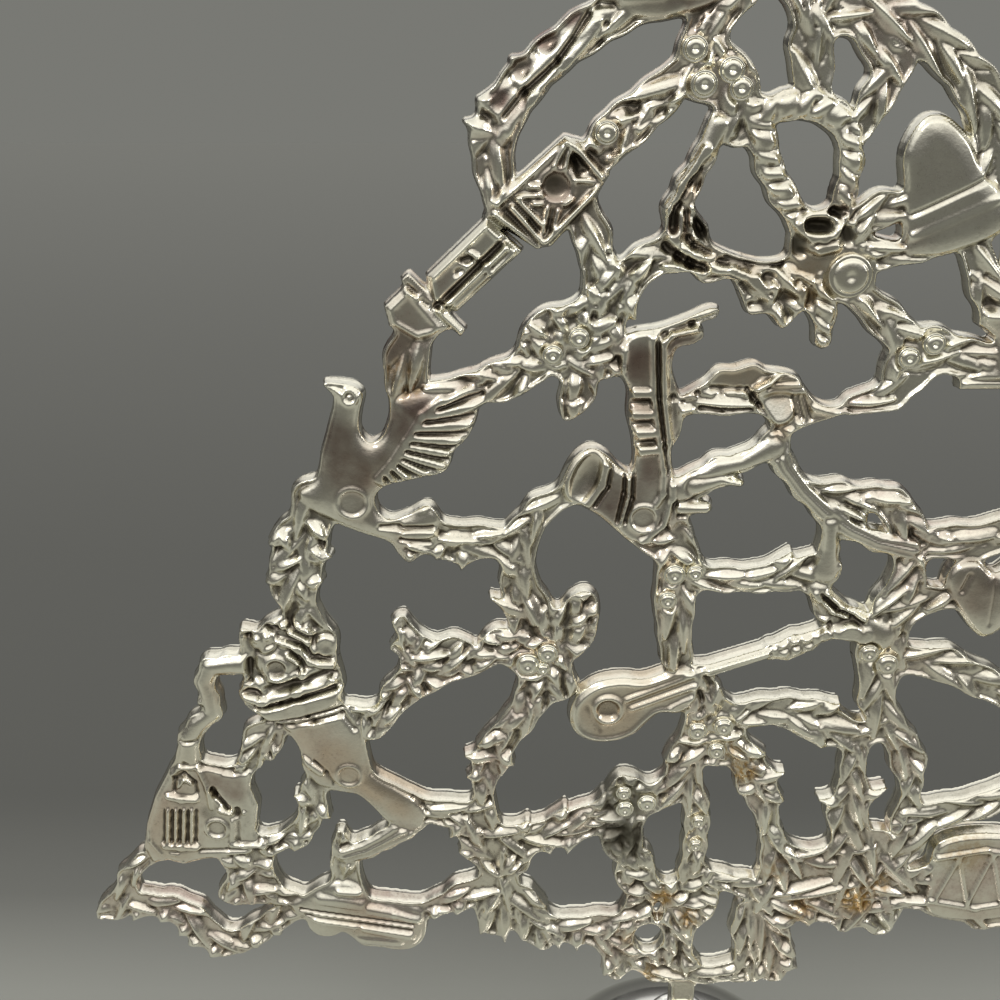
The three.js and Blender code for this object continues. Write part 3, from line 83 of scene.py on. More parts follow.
# The drawing of the casting in millimetres, seen from the front.
# Branches: x, z and width along each of them.
BRANCHES = named_rows("""
upper_left_bough: -12 200 5, -17 197 5, -21 194.7 5, -25 191.8 4.8, -28.6 188.4 5.2, -31.2 185 5.6,
  -32.4 181.5 5.2, -32.2 178 4.6, -31.6 174.5 4;
lantern_neck: -7.5 190.5 4.4, -11.5 186.8 5, -15 183.8 5.6, -18.5 180.2 5;
top_berry_stem: -6 198 4, -6 194.5 4.4, -5 190.5 7, -2.2 188.6 6, -0.8 184.5 5.4, -1 182.8 4;
thin_bar: -3.6 183.6 3, -5.2 179.6 2.6, -7 176.2 3, -8.2 173 3.4, -6.9 169.6 6;
rope_left: 1.6 185.2 3, 2.3 181.6 3.2, 3.3 178.4 3.2, 5.3 175 3.2, 7.6 172 3.2;
rope_top: 1.6 185.2 3, 5 186 3.4, 8.4 186.2 3.6, 11.2 184.8 3.4, 13.2 182.6 3;
rope_right: 13.2 182.6 3, 13.9 179 2.8, 13.5 175.2 2.6, 12.8 172 3;
right_top_stem: 8.2 187 4, 7.8 190.5 4.8, 7.2 193.4 5, 7.8 196.6 4.4, 8.6 200 4;
right_top_fork: 9 195.8 3.6, 12.6 195.8 2.6, 15.2 193.4 3.4, 17.2 190.4 4;
right_top_leaf: 18.6 191 4, 16.2 187 4.2, 14.8 183.2 3;
rope_tail: 12.2 163 3.2, 12.4 159 2.8, 12.5 155.4 2.4;
lower_left_of_bow: -8.6 167.6 5, -12 166 4.4, -14.8 163.4 5, -16.8 160 5.4, -17.4 156 4.8, -17 152.4 4.6;
lantern_stem: -20.6 172.6 4.4, -19.2 169.4 4.6, -18.6 166.4 3.8, -18.4 163 3.2, -18.2 160 4;
dove_wing_branch: -27 151.6 5.2, -31.5 149.4 5.4, -35.8 148.4 4, -40 148 3.4;
cup_stem: -43 156 5, -44.3 152.6 5.6, -44.3 149 6;
under_dove_bough: -58.6 132 5.4, -58.6 128.6 5.6, -60.4 125 7.4, -61.4 121 7.2, -61.9 117.6 6.4, -61.2 114 4.6,
  -60.6 110.6 4.6;
dove_tail_arm: -41.5 126.2 5, -38 124.9 5.4, -34.6 125.2 5, -31.6 125 4.4, -28.6 124.4 4.2;
bell_arm: -22.4 132.2 3.4, -25.6 130.2 4, -27.9 126.8 4.6, -28.7 122.6 4.2, -28.7 118.6 5, -27.3 114.6 6.2,
  -26.6 110.6 6.4;
cluster_down: -26.4 98.4 5.2, -28.6 94.4 4.8, -31.4 90.6 4.6, -32.9 87 5.4, -33.9 83 3.2, -34 79 3,
  -33.6 75 4.4;
stocking_toe_bar: -46 78.2 4.6, -40 77.1 4.6, -35 77 5;
berry_bar: -34 73 5, -29 71.7 5.6, -25 72.6 5.2, -21 74 6, -17.6 75.6 5.6, -14 77 5;
dark_berry_arm: -0.6 90.4 5.6, -2.2 87 5.4, -2.4 84 5, -4.4 81.6 5, -7 80 5;
beaded_stem: -1.4 83.6 3.6, 0 79 3.6, 0.3 75 3.6, 0.3 70.6 3.4, 0 66 4;
berry_to_guitar: -0.6 93 4.4, 0.8 96 6, 0.2 99.6 4.4, -1 102.6 3;
right_arm: 4.6 95.2 5, 9 96.2 4.4, 13 96.3 4.8, 17 95 6.6, 20 93.2 6, 23 92 4.6, 27 92.6 4.2;
right_drop: 24.4 91 4.6, 24.2 86 3.6, 24.6 82 4.6, 24.2 77.6 6.2, 25.4 73 6.4;
right_down_branch: 4.6 91 4.6, 7.3 87.2 5, 9.3 83.6 5.6, 10.6 80 5, 11.6 76.4 3.2, 12.4 72.6 3.4;
sax_stem: -5.4 122 6, -5.2 118 5.8, -5.3 113.6 5.4, -5.2 110 4.6, -4.6 106 5;
middle_bar: -3 119.3 4, 2 119 3.8, 7 119 4, 11 119.8 5, 14.6 120.2 5.4, 16.4 120.4 4;
middle_hook: 16.4 120.4 4, 16.6 124 2.6, 16.3 128 2.6;
swept_band: 7.2 140.6 3.6, 9 136.9 2.8, 11.9 133.2 2.6, 15.2 130 2.8, 19.2 127.2 2.8, 23.4 125.2 2.8,
  28.4 124 3.4;
swept_leaf: 13.8 133.2 2.4, 17 132.6 3.6, 20.4 131.8 3.2, 25 131.8 3;
swept_web: 14.6 132.4 1.6, 17.6 130.6 2.6, 20.6 128.8 2;
sax_arm: -5.6 133.4 4, -3 134.6 3.6, -0.4 136.8 3, 3 137.6 2.6, 7 139.8 3.6;
sax_arm_leaf: -3.6 134 3, 0 135 1.8, 2.8 134.4 1.2;
sax_right_key: -5.4 130.6 2.2, -1.9 130.6 2;
scroll_band: 15.6 117.4 3.4, 17.6 114.2 4, 21 111.8 4.8, 25.6 109.4 5;
headstock_link: 15.6 109 2.4, 18.4 110.6 2.6, 21 111 3.4;
stocking_stem: -60.4 112 5, -58.6 109 5.4;
hook: -68.6 104.6 3.6, -72.4 104.6 3, -75.4 104.2 2.8, -76.6 101.6 2.6, -76 98.6 2.6, -75.8 96 2.6,
  -78.2 94 2.8, -79.9 91.4 3, -80.3 88.4 3.2, -81 85.4 4;
hook_leaf: -66.4 93.8 3, -68.6 91.4 5.4, -69.8 89.4 3.6, -71.8 87.4 1.6;
hook_leaf_tip: -66 93 3, -66.8 90.6 2.4, -67.4 88 1.4;
church_roof_line: -79.4 86.2 2.4, -76 84.6 3, -73 84.8 2.6, -69.6 86.8 1.8;
church_side_stem: -70.6 71.4 2.8, -67 71.8 2.6, -64.2 72.8 4, -62.2 75.6 3.4, -61.3 78.6 4, -61 82 4.2;
left_corner_leaf: -89.6 68 3, -92.6 64.6 2.8, -93.2 61 3.6, -95.6 58 4.4, -98 56.6 2;
swag: -94 59 4, -90 58.8 4, -86 58 4.8, -83 56 5.4, -81 53 5.6, -78.2 50.6 5.2, -75.4 50.9 4.2, -72 53 4.2,
  -68.6 55.8 4, -65.4 57.8 4.2;
doorstep: -75.4 61.2 4.4, -71 61.2 3.6, -66 60 3.4;
horn_post: -56.6 63.6 5, -56.8 67 4.2, -57 70.4 3, -57.2 73 1.6;
horn_arm: -56.4 69 3, -53 70.2 3.4, -50 72 3.4, -47 74 4.4;
horn_to_vine: -44.8 57.4 3.2, -41 58.8 3.4, -37.6 60.6 5, -34 62 5.4;
vine_up: -32 63 5, -32.4 67 4.6, -34.6 70.4 5.2, -36.8 74 4;
vine_v: -31.6 64.6 3.2, -28.4 67 3, -27.6 69.6 3.6;
vine_down: -31.4 63 6.4, -31.6 58 7.6, -32.2 54.6 4.6;
vine_down_right: -29 60 6, -27.2 56 5.6, -25 52.6 4.6, -24 50.6 2.8;
vine_right: -27.6 58 5, -23 53.8 4.4, -19 53.4 5, -15 53.4 6, -11.8 53.6 6;
foot_left: -15 53.4 5, -12.2 50 5, -11 46.4 4.4, -11.6 43.8 2.4;
foot_middle: -10.6 49.4 3.4, -7.4 46.6 3.4, -4.4 44.6 4.6, 0 44.4 4.6, 4 43.6 3.2, 8.4 44.4 4.4;
foot_right_stem: 9.8 57.6 4, 9.6 53.4 4.2, 10.4 49 3.6, 10.2 44 3.6;
foot_right_leaves: 12.4 55.6 6, 14.4 52 5.6, 15.4 48 5.4, 15.2 44.6 4.6;
right_lower_vine: 0.8 65.2 3.2, 5 63.6 3, 9 62.4 3.6, 12.6 60.6 4.6, 15 58 6;
right_lower_post: 12.8 73 3, 13.2 69 4, 13.4 64 4.6, 14 60 6;
right_lower_top: 13.6 70.6 3.4, 17 68 4, 21.6 68 4.2, 25.4 70 6;
right_lower_foliage: 14 60.6 8, 19 61 11, 24 60 9.6, 27.6 58 7.6, 31 57.4 6;
right_lower_tip: 25.8 57 4.6, 26.1 54.2 2.4;
right_lower_back: 25.6 70 6, 26.4 66 6, 27.4 61 7""")
# Branches of the right-hand side and the crown that have no mirror image.
RIGHT_BRANCHES = named_rows("""
bow_link: 15 171 4, 18.6 173 4.4, 22 173.6 3;
bow_link_low: 15 168.6 3.6, 19 167 3.6, 24 167.4 3;
bell_link: 17 161.4 4, 20.6 158.4 4.6, 23.6 155.6 5;
candle_foot: 31.6 167.6 4, 34 162.6 4.6, 37.4 158.6 5;
right_holly: 23 147.4 4, 24.6 151 6.6, 27.4 153.8 6.2, 32 153 5, 37 152.4 4.6;
right_holly_in: 18 146.2 3, 23 147.6 4;
star_link: 43 153.4 4.4, 47.4 150.4 4, 49.6 146.6 4;
star_foot: 54.4 131.4 4, 57.6 128.6 5;
tail_right: 41 126 5, 45.6 128.4 4, 49.4 131 3.6;
leaf_right: 25 131.8 3.2, 27.6 128.4 4;
heart_link: 36 116 3.4, 32 115.6 4, 28 113 5;
heart_link_out: 47 116.8 3.6, 52 117.4 4, 58.6 116.8 4.6;
holly_right: 26.6 110.6 6.2, 26.6 105 7, 26.4 99 5.4;
gift_link: 30 105.4 4.6, 36 104.6 5.4, 42 101.6 5, 48 98.6 4.6, 53 97.6 4;
gift_foot: 57 87.6 3.4, 53 82.6 4.6, 46 78.6 4.6, 40 77 4.6, 34 76.4 4.6;
gift_side: 66.6 90 4, 70.4 87.4 4, 74 85.6 3;
drum_link: 30 62.6 5, 36 63.4 4.4, 40 65.4 4;
drum_foot: 44 59 3.4, 49 56 4.4, 55 56.6 4.6, 62 58 4.2;
drum_side: 54.6 68.4 3.6, 59 69.6 4, 63.4 72.4 4;
fir_link: 70.6 71.4 3, 74.6 70.6 3.4, 78 70.4 4;
fir_foot: 80.6 69.6 3.6, 80.4 65 4, 76 61.4 4.4, 70 61 4, 65.4 58.6 4;
right_vine_down: 29.6 71 6, 31.4 66 6, 31.6 62 6.4;
crown_left: -12 200 5, -11.6 207 4.4, -9.6 213.6 4.6, -7.4 219.6 4.4, -5.4 225 4.4, -3 230.4 4;
crown_right: 12 200 5, 11.6 207 4.4, 9.6 213.6 4.6, 7.4 219.6 4.4, 5.4 225 4.4, 3 230.4 4;
crown_bar: -11 207.4 3.6, -5.6 209.6 4.4, 0 208.6 4.6, 5.6 209.6 4.4, 11 207.4 3.6;
crown_drop: 0 208.6 4, 0.6 204 3.6, -1.6 199.6 3.8, -4.6 196 4;
crown_drop_right: 0.6 204 3.6, 4.6 200.6 4, 7 196.6 4;
crown_stem: 0 221 3.6, 0 226 4.4, 0 231 5, 0 237.6 4;
crown_ring: -7 217.6 3, -2.6 221 3.6, 2.6 221 3.6, 7 217.6 3""")
# The trunk in the same form, with a plain face.
TRUNK = ((0, 36.2, 4), (0, 46, 4))
# Branches that are repeated in mirror image on the right.
MIRRORED = ("upper_left_bough", "under_dove_bough", "dove_tail_arm", "bell_arm", "cluster_down", "hook",
            "left_corner_leaf", "swag", "church_side_stem", "vine_up", "vine_down", "horn_to_vine")

# Pieces of twisted rope, smooth band and round bar among the branches.
ROPES = ("rope_left", "rope_top", "rope_right", "rope_tail")
BANDS = ("swept_band", "horn_arm")
BARS = ("sax_arm", "scroll_band", "hook", "headstock_link", "middle_hook", "thin_bar", "sax_right_key",
        "sax_arm_leaf")

# Leaves along the edges, and single leaves seen clearly on the face: x and z of root and tip, and width.
LEAVES = number_rows("""
-28 190 -29.8 191.6 3, -31 186.2 -33.9 186.6 3, -32.6 182.6 -35.8 184 3.4, -27.4 113 -32.7 116 3.4,
-28.6 119.6 -31.4 122.4 2.6, -36.4 124 -37 120.8 4.4, -40.6 125 -40.6 122.6 2.6, -62 126.8 -64.8 125 3,
-63 120 -65.6 118.8 3.2, -60 122.6 -56.2 122.8 3, -60.6 118 -57.8 118.8 3, -32 91.6 -34.6 90.2 2.6,
-33 87.6 -36.8 88.2 3, -34 84.6 -36.4 84.2 2.6, -30.6 92.8 -28 95.6 3, -31.6 88.4 -29.4 86.6 3,
-37 76 -39.4 72.6 2.8, -35.4 69 -37.8 69.6 2.4, -30.8 58 -30.6 51 3.4, -33 58.6 -34.6 52.8 3.2,
-27.6 56.6 -27.6 51.8 3, -22 53 -21.4 49.6 2.6, -18.6 53 -18.4 49.2 2.8, -27 60.8 -24 58.6 3,
-22 75.6 -21 78.2 2.4, -16 77.6 -15 80.6 2.6, -24 71.6 -23.2 69.4 2.6, -20 72.4 -20.4 69.4 3,
-28 73.4 -27 75.6 2.4, 8 83 13.4 85 3.6, 6.6 89 10 88.6 3, 10.4 81 13.6 79.8 2.6, -3.4 89 -5 87.4 2.6,
16.4 94 18.8 90 3.6, 13 95 16.8 92 2.6, 17.6 96 20.8 97.6 3, 9.4 82.6 7 81.4 2.4, 14.6 119 18.2 121.2 3,
9.4 120.6 11 123.4 2.6, -17.6 160.6 -19.4 162.4 2.6, -15.6 163.6 -16.6 166.4 2.6, -14.4 161.6 -13.2 158.4 2.8,
15.4 46 19 45.4 2.6, 15.6 50 18.2 48 2.4, 14 54.6 17.4 54.8 2.8, 13.6 45.4 12 42.4 2.4,
-12.4 46.6 -13.6 43.8 2.2, 20 57.6 20.2 54.4 3, 23 79 19.6 79.8 2.6, 26.6 80 29.8 82 3,
-83.4 54.6 -85.2 52.4 3, -81.4 51.6 -83.8 50.4 2.6, -78.8 50 -80.4 47.8 2.8, -86.6 57.4 -88 55.4 2.8,
-73 52 -72.4 50 2.8, -69.6 54.6 -68.4 52.6 2.6, -91 58 -92.6 55.6 2.8, -61.6 79 -64 80.6 3,
-60.6 78 -58.8 76.4 2.6, -64 72.6 -64.8 70 3, -76 98.6 -77.6 98 1.6, -38 59.6 -38.6 56.8 3,
-42 58 -42.4 56 2.4, 10 207.6 14.4 209 3.4, -10 208 -14.4 209.6 3.4, 9 213.6 12.4 216 3.2,
-9 214 -12.4 216.4 3.2, 6.6 220 9.6 223 3, -6.6 220 -9.6 223 3, 4.4 226 6.6 229.6 2.6, -4.4 226 -6.6 229.6 2.6,
0 209 -1.6 212.4 3, 0 209 2.2 212 3""")
LENSES = number_rows("""
-5.9 146.4 4.6 146.2 2.8, 2.2 148.9 9.4 146.6 2.6, -46.5 105.3 -39 106.6 2.6, -41 102.6 -36.3 106.8 2.4,
-45.6 102 -43 98.4 2.4, -50.6 93 -46.8 97.2 2.6, -52.6 95 -49 98.4 2.2, -65.6 120.2 -60.4 122.6 1.8,
-59.4 128.4 -56.4 125.4 2.4, -59.6 124.8 -57 122.2 2.2, -63.8 127.4 -62 124 2.4, -61.6 119.6 -60 115.6 2.6,
-34.7 67.9 -31.3 64.6 1.6, -31.3 64.6 -27.9 67.4 1.6, 15.8 118.9 24.4 110.6 2, -19 161.2 -15.8 165.6 2.4,
-14.4 162.4 -11.2 166.6 2.2, 0.6 164.4 5.4 160.6 2.6, 4.6 165.6 8.6 161.6 2.4, -3 168.2 2.6 167 2.2,
2.6 167 6.4 168.6 2""")

# Berries: x, z and radius.
BERRIES = number_rows("""
-7.2 192.8 1.7, -5.8 188.6 1.8, -2.4 190.3 1.7, -1.1 188.1 1.6, -17.8 182.7 1.6, -24.2 153.4 1.5,
-20.7 155.8 1.5, 15.2 164.3 3, -5.8 120 1.7, -2.8 120.3 1.3, -6.6 115.8 1.5, -27.2 104.9 1.85, -24.2 106.8 1.6,
-24.9 104.2 1.1, -0.8 93 1.6, 3.2 93.8 1.6, 2.4 89.4 1.5, -11.8 81.5 1.3, -11.5 78.4 1.5, -8 79.5 1.6,
0.4 76 1.2, 0.2 71.3 1.2, 24.4 153 1.6, 27.6 155 1.6, 27.2 104.9 1.8, 24.2 106.8 1.6, -4.4 209.8 1.5,
4.4 209.8 1.5, 0 222 1.7""")

# Leafy patches, each with a round outline of x and z.
PATCHES = named_rows("""
bow_and_holly: -9 169.4, -5.4 169.4, -2.2 167.8, 0.5 166.8, 3.7 166.2, 6.4 166.8, 6.8 169.4, 7 171.6,
  9.6 172.8, 13 173, 15 171.6, 17 169.4, 17.6 166, 18 162.6, 15.6 160.8, 13 161.4, 11.2 158.8, 9.4 159.4,
  6.9 157, 4.6 159, 2.2 159, 1.1 161, -0.5 163.7, -4.2 163.2, -6 164.6, -9 165;
holly_cluster: -29.4 153, -28.2 157.2, -25.6 159.7, -22.6 160.3, -20 161.4, -17 160, -15 156.6, -15.2 151.2,
  -17.6 149.8, -18.2 147, -20.6 144.4, -22.4 143.8, -23.3 146.5, -23 149.3, -25.4 150.8, -28.6 147.8, -31 149.4;
bell_leaf: -25.6 112, -24.4 114.6, -22.6 114.4, -21 116.2, -18.9 117.3, -17.3 116.4, -16.6 114, -16.7 111.4,
  -17.4 108.6, -19 106.5, -20.4 105, -20.2 103, -19.4 100.6, -21 98.6, -23.8 97.6, -25.4 96, -27.4 96.2,
  -28.9 98.4, -28.8 103, -30.4 104.6, -30.2 109, -28.6 111;
left_holly_arm: -47.6 112.1, -45.8 113.1, -44.5 111.5, -43.2 110, -41 108.9, -38.3 109.6, -36 108.6, -35 108.1,
  -33.5 110, -31.6 111, -29.6 110, -29.2 105, -31.8 104.6, -35 102.8, -39 101.4, -41 100, -43.5 98.6,
  -46.3 96.2, -48.2 93.5, -50.6 91.2, -53.2 91.8, -54 95, -54.6 97.4, -52 97.2, -50.2 98, -49.6 100.5,
  -47 103.5, -46.7 106, -48 107.5, -47 109.5;
long_leaf: -6.4 147, -3 149.5, -1.3 151.2, 0.8 151.3, 3.5 152, 5.2 151.2, 8 150.8, 9.6 150.1, 10.9 148.3,
  12.5 146.6, 14.6 145.9, 18 146.6, 22 147.8, 22 145.6, 18 145.3, 15 144.2, 12 143.2, 9.6 141.8, 8.6 140,
  6.3 140.2, 6.6 142.6, 5.2 144.5, 3 144.9, 0 144.5, -3 144.8, -6.6 144.8;
sax_web: -12 125.4, -8.3 122, -5.4 120.6, -2.4 121.4, -3.2 126, -4.3 129.4, -3.6 133.6, -7 134;
dark_berries: -15.2 79, -14 82.6, -12.4 84.5, -10.5 84.4, -8 83, -5.6 82, -5.4 79.4, -7 77.6, -8.3 74.4,
  -8.2 71, -9.4 69.4, -12.5 67.8, -14.2 69.2, -15.2 72, -15.6 76;
berry_knot: -2.4 96, -2 93, -3.4 90.8, -1 88.4, 1.6 86.4, 4.6 86.6, 6.4 89.4, 6.6 92.4, 5.4 95.6, 3.4 98.4,
  0.4 98;
middle_leaves: -10.8 69.6, -12.6 66, -12.2 63.2, -10.5 60.4, -11.4 57.4, -12.4 55, -10.4 50.4, -8.4 47.6,
  -4 46.6, -2.2 44, 1.4 44, 1.1 50, 1.6 53.6, 4.1 56.6, 4.8 61.6, 2.6 64.4, 1.8 66.8, -1.6 66.6, -2 64.2,
  -3.8 63.2, -5.6 64.4, -6.2 67.4, -7.4 70.2;
cornucopia_toys: -70.8 99.6, -70 104, -70.6 107.6, -70.3 110.8, -68 110.6, -66.4 112, -64 113, -61.6 112.4,
  -59 111, -56.6 108.6, -56 105.4, -55.8 100;
church_door: -77.2 68.6, -76.2 65.2, -77 62.6, -77.8 60.4, -74 59.2, -70 60, -66.2 60.4, -67.2 62.6, -68.4 66,
  -68 68.8, -66.6 70.6, -69.4 71.6""")

# Small oval openings: x, z, half width and half height.
OVAL_OPENINGS = ((-6.4, 51.8, 2.5, 3), (-5.1, 57.4, 0.9, 1.9))

# Ornaments: their outlines, which of them have sharp corners, and the stars.
OUTLINES = named_rows("""
lantern_head: -23.1 182.3, -21.4 181.8, -17.4 177.2, -18.6 175, -24.6 168.2, -26.6 167.8, -33.2 172.2,
  -32.2 174.2;
lantern_pole: -33.2 171.8, -41.2 164.2, -40.6 160.6, -37.2 159.4, -28.4 167.6;
lantern_flare: -44.6 163.6, -43.6 164.6, -36 156.8, -36.8 155.9;
lantern_cup: -43.6 163.2, -47 160, -46.4 157.4, -42.8 155.2, -40.4 155.8, -38.4 157;
dove: -55.8 149.2, -53.4 149.3, -51.4 148.8, -50.4 147.6, -50.9 145, -51.1 142.4, -49.7 140.6, -48 141.4,
  -46.9 144, -46.4 147, -43 148.2, -38 148.6, -33.4 147.6, -34.4 145.6, -35 143.2, -36.2 141, -37.9 139.2,
  -39 136.4, -43.6 135, -48 133.8, -49.3 132.2, -48.8 129.9, -47.2 128.8, -44.6 129.6, -41.8 131, -40.4 129.6,
  -40 127, -40.6 124, -42.9 123, -44.7 121.8, -46.2 123.2, -47.4 125, -52 126.8, -56.4 128.8, -59.4 130.6,
  -60.4 133, -57.6 135.2, -56.6 139, -55.4 143, -54.5 147.2;
saxophone: -3 159.9, -1.9 159.6, -2.2 158.6, -4.2 157.7, -3.7 156, -5 154.9, -7.2 154.2, -7.8 151.4, -6.8 148,
  -5.9 145.6, -6.1 142, -7.2 139.4, -6.8 135, -6.6 130.6, -7.4 127.6, -9.4 125.7, -12.4 125.2, -14.6 127,
  -17.2 129.3, -19.9 130.9, -21.9 131.8, -22.8 133.8, -22.2 136, -20.8 138.4, -18.6 139.8, -16.4 138.8,
  -14.6 136.9, -12.9 136, -12.4 137.6, -12.7 141, -13.6 144.6, -13.7 148.4, -15.2 151, -15 154.4, -13.6 156.4,
  -9.8 157.2, -6 158.6;
guitar_body: -0.4 103, -3.4 104.3, -6.4 103.3, -9.5 102.2, -13 102.4, -16.4 101.7, -18.9 99.9, -20.4 97.4,
  -20.6 94.4, -19.2 92, -16.4 90.8, -13.4 91, -10.6 92.2, -8.6 94.4, -6.8 96, -4.2 96, -2 97.2, -0.9 99.8;
guitar_neck: -3 103.6, 9.4 107.9, 9.8 106, 0.2 102.4;
guitar_head: 9.2 107.8, 12.6 109.9, 15.6 110, 16.5 108.8, 15.8 107.2, 12.2 105.3, 9.4 105.8;
stocking: -71.3 99.8, -70.4 97.2, -67.8 95, -64.4 92.4, -62.8 89.4, -62.5 86, -60.6 82.6, -57 81.5, -54 80.8,
  -51.8 78.6, -49.6 75.8, -46.6 73.9, -43.8 74.2, -43.2 77, -44.4 80.2, -47.4 82.4, -51.2 85, -52 88, -52.6 92,
  -54.2 96, -55.8 98.5, -56 101.2, -58.6 102.2, -63.6 101.2, -68 99.6;
church: -81 88, -83.6 85.6, -86.4 80.4, -88.2 75.4, -89.2 70.6, -88.2 67.4, -85.6 68, -83 67.2, -79.6 68.2,
  -73 69, -69.8 71.2, -70.8 74, -70 78.8, -70.9 82, -70.6 85.6, -74.4 85, -78.4 86.4;
bugle: -66.4 58.8, -63 61.4, -60.2 63.2, -56.6 63.8, -54 62.4, -52.8 60.3, -49 59.6, -45.4 58.8, -43.9 57,
  -43.7 54.2, -44.3 51.6, -46 49.7, -48.6 49.2, -51.6 49.8, -54.6 50.2, -56.2 51.9, -57.8 53, -59.4 52.2,
  -61.6 52.2, -63.2 53.6, -64 55.8, -65.8 57;
crown_bell: -9.6 212.6, -7.4 212, -5.6 208.6, -5 204.4, -3.6 200.6, -3.4 198.8, -5.4 197.6, -8.6 196.6,
  -12 196, -15.6 196.4, -17.4 197.8, -16.6 199.6, -14 202.6, -12.4 206.6, -11.6 211;
hand_bell: 22.6 184.6, 25 184.8, 28.6 182, 31.4 177.6, 34.6 174.6, 36 172, 34 169.6, 29.6 167.6, 25.4 166.6,
  22.2 167.2, 21.4 170.4, 21 175.4, 20.4 180.4;
candle: 33.4 160, 42.4 160, 42.4 157.6, 39.6 156, 39.6 152, 43.4 150, 43.4 148.4, 32 148.4, 32 150, 36 152,
  36 156, 33.4 157.6;
candle_flame: 37.8 171.6, 39.8 167.8, 39.8 164, 39.8 159, 36 159, 36 164, 36 167.8;
heart: 41.4 109.4, 36.6 114.2, 34.2 118.6, 35.4 121.8, 38.4 122.4, 41.4 120.2, 44.4 122.4, 47.4 121.8,
  48.6 118.6, 46.2 114.2;
gift_box: 53 86.4, 70.4 86.4, 70.4 99.8, 71.8 99.8, 71.8 104.4, 51.6 104.4, 51.6 99.8, 53 99.8;
gift_bow: 61.7 104, 66 103.6, 69.4 106, 69.2 110.4, 66 111, 61.7 107.6, 57.4 111, 54.2 110.4, 54 106,
  57.4 103.6;
drum: 39.6 57.4, 47.2 55.6, 54.8 57.4, 55.4 64, 54.8 71.4, 47.2 73.4, 39.6 71.4, 39 64;
fir: 82 88.4, 76.8 81.6, 79 81.6, 74 75.4, 76.4 75.4, 72.4 69, 89.8 69, 86.4 75.4, 88 75.4, 84.8 81.6,
  86.2 81.6""")
SHARP = ("lantern_head", "lantern_pole", "lantern_flare", "lantern_cup", "guitar_neck", "guitar_head",
         "church", "candle", "gift_box", "fir")
# Stars: x, z, outer and inner radius, arms and turn in degrees.
STARS = {"crown_star": (0, 244.6, 10.4, 4.4, 5, 90), "snow_star": (52.6, 140, 11.2, 4.8, 6, 90)}
# How the ornaments are finished: the kind of face, its height and whether it has a border.
FINISHES = {
    "lantern_head": ("flat", -0.25, True), "lantern_pole": ("flat", 0, True),
    "lantern_flare": ("round", 0.2, False), "lantern_cup": ("flat", -0.1, True), "dove": ("round", 0.4, False),
    "saxophone": ("flat", 0.1, False), "guitar_body": ("flat", 0.05, True),
    "guitar_neck": ("flat", 0.1, False), "guitar_head": ("flat", 0.1, False),
    "stocking": ("round", 0.25, False), "church": ("flat", 0, False), "bugle": ("round", 0.2, False),
    "crown_bell": ("round", 0.5, False), "crown_star": ("roof", 0.62, False),
    "hand_bell": ("round", 0.6, False), "candle": ("round", 0.5, False), "candle_flame": ("roof", 0.6, False),
    "snow_star": ("roof", 0.62, False), "heart": ("round", 0.62, False), "gift_box": ("flat", 0.1, True),
    "gift_bow": ("round", 0.6, False), "drum": ("flat", 0.1, False), "fir": ("flat", 0, False),
}

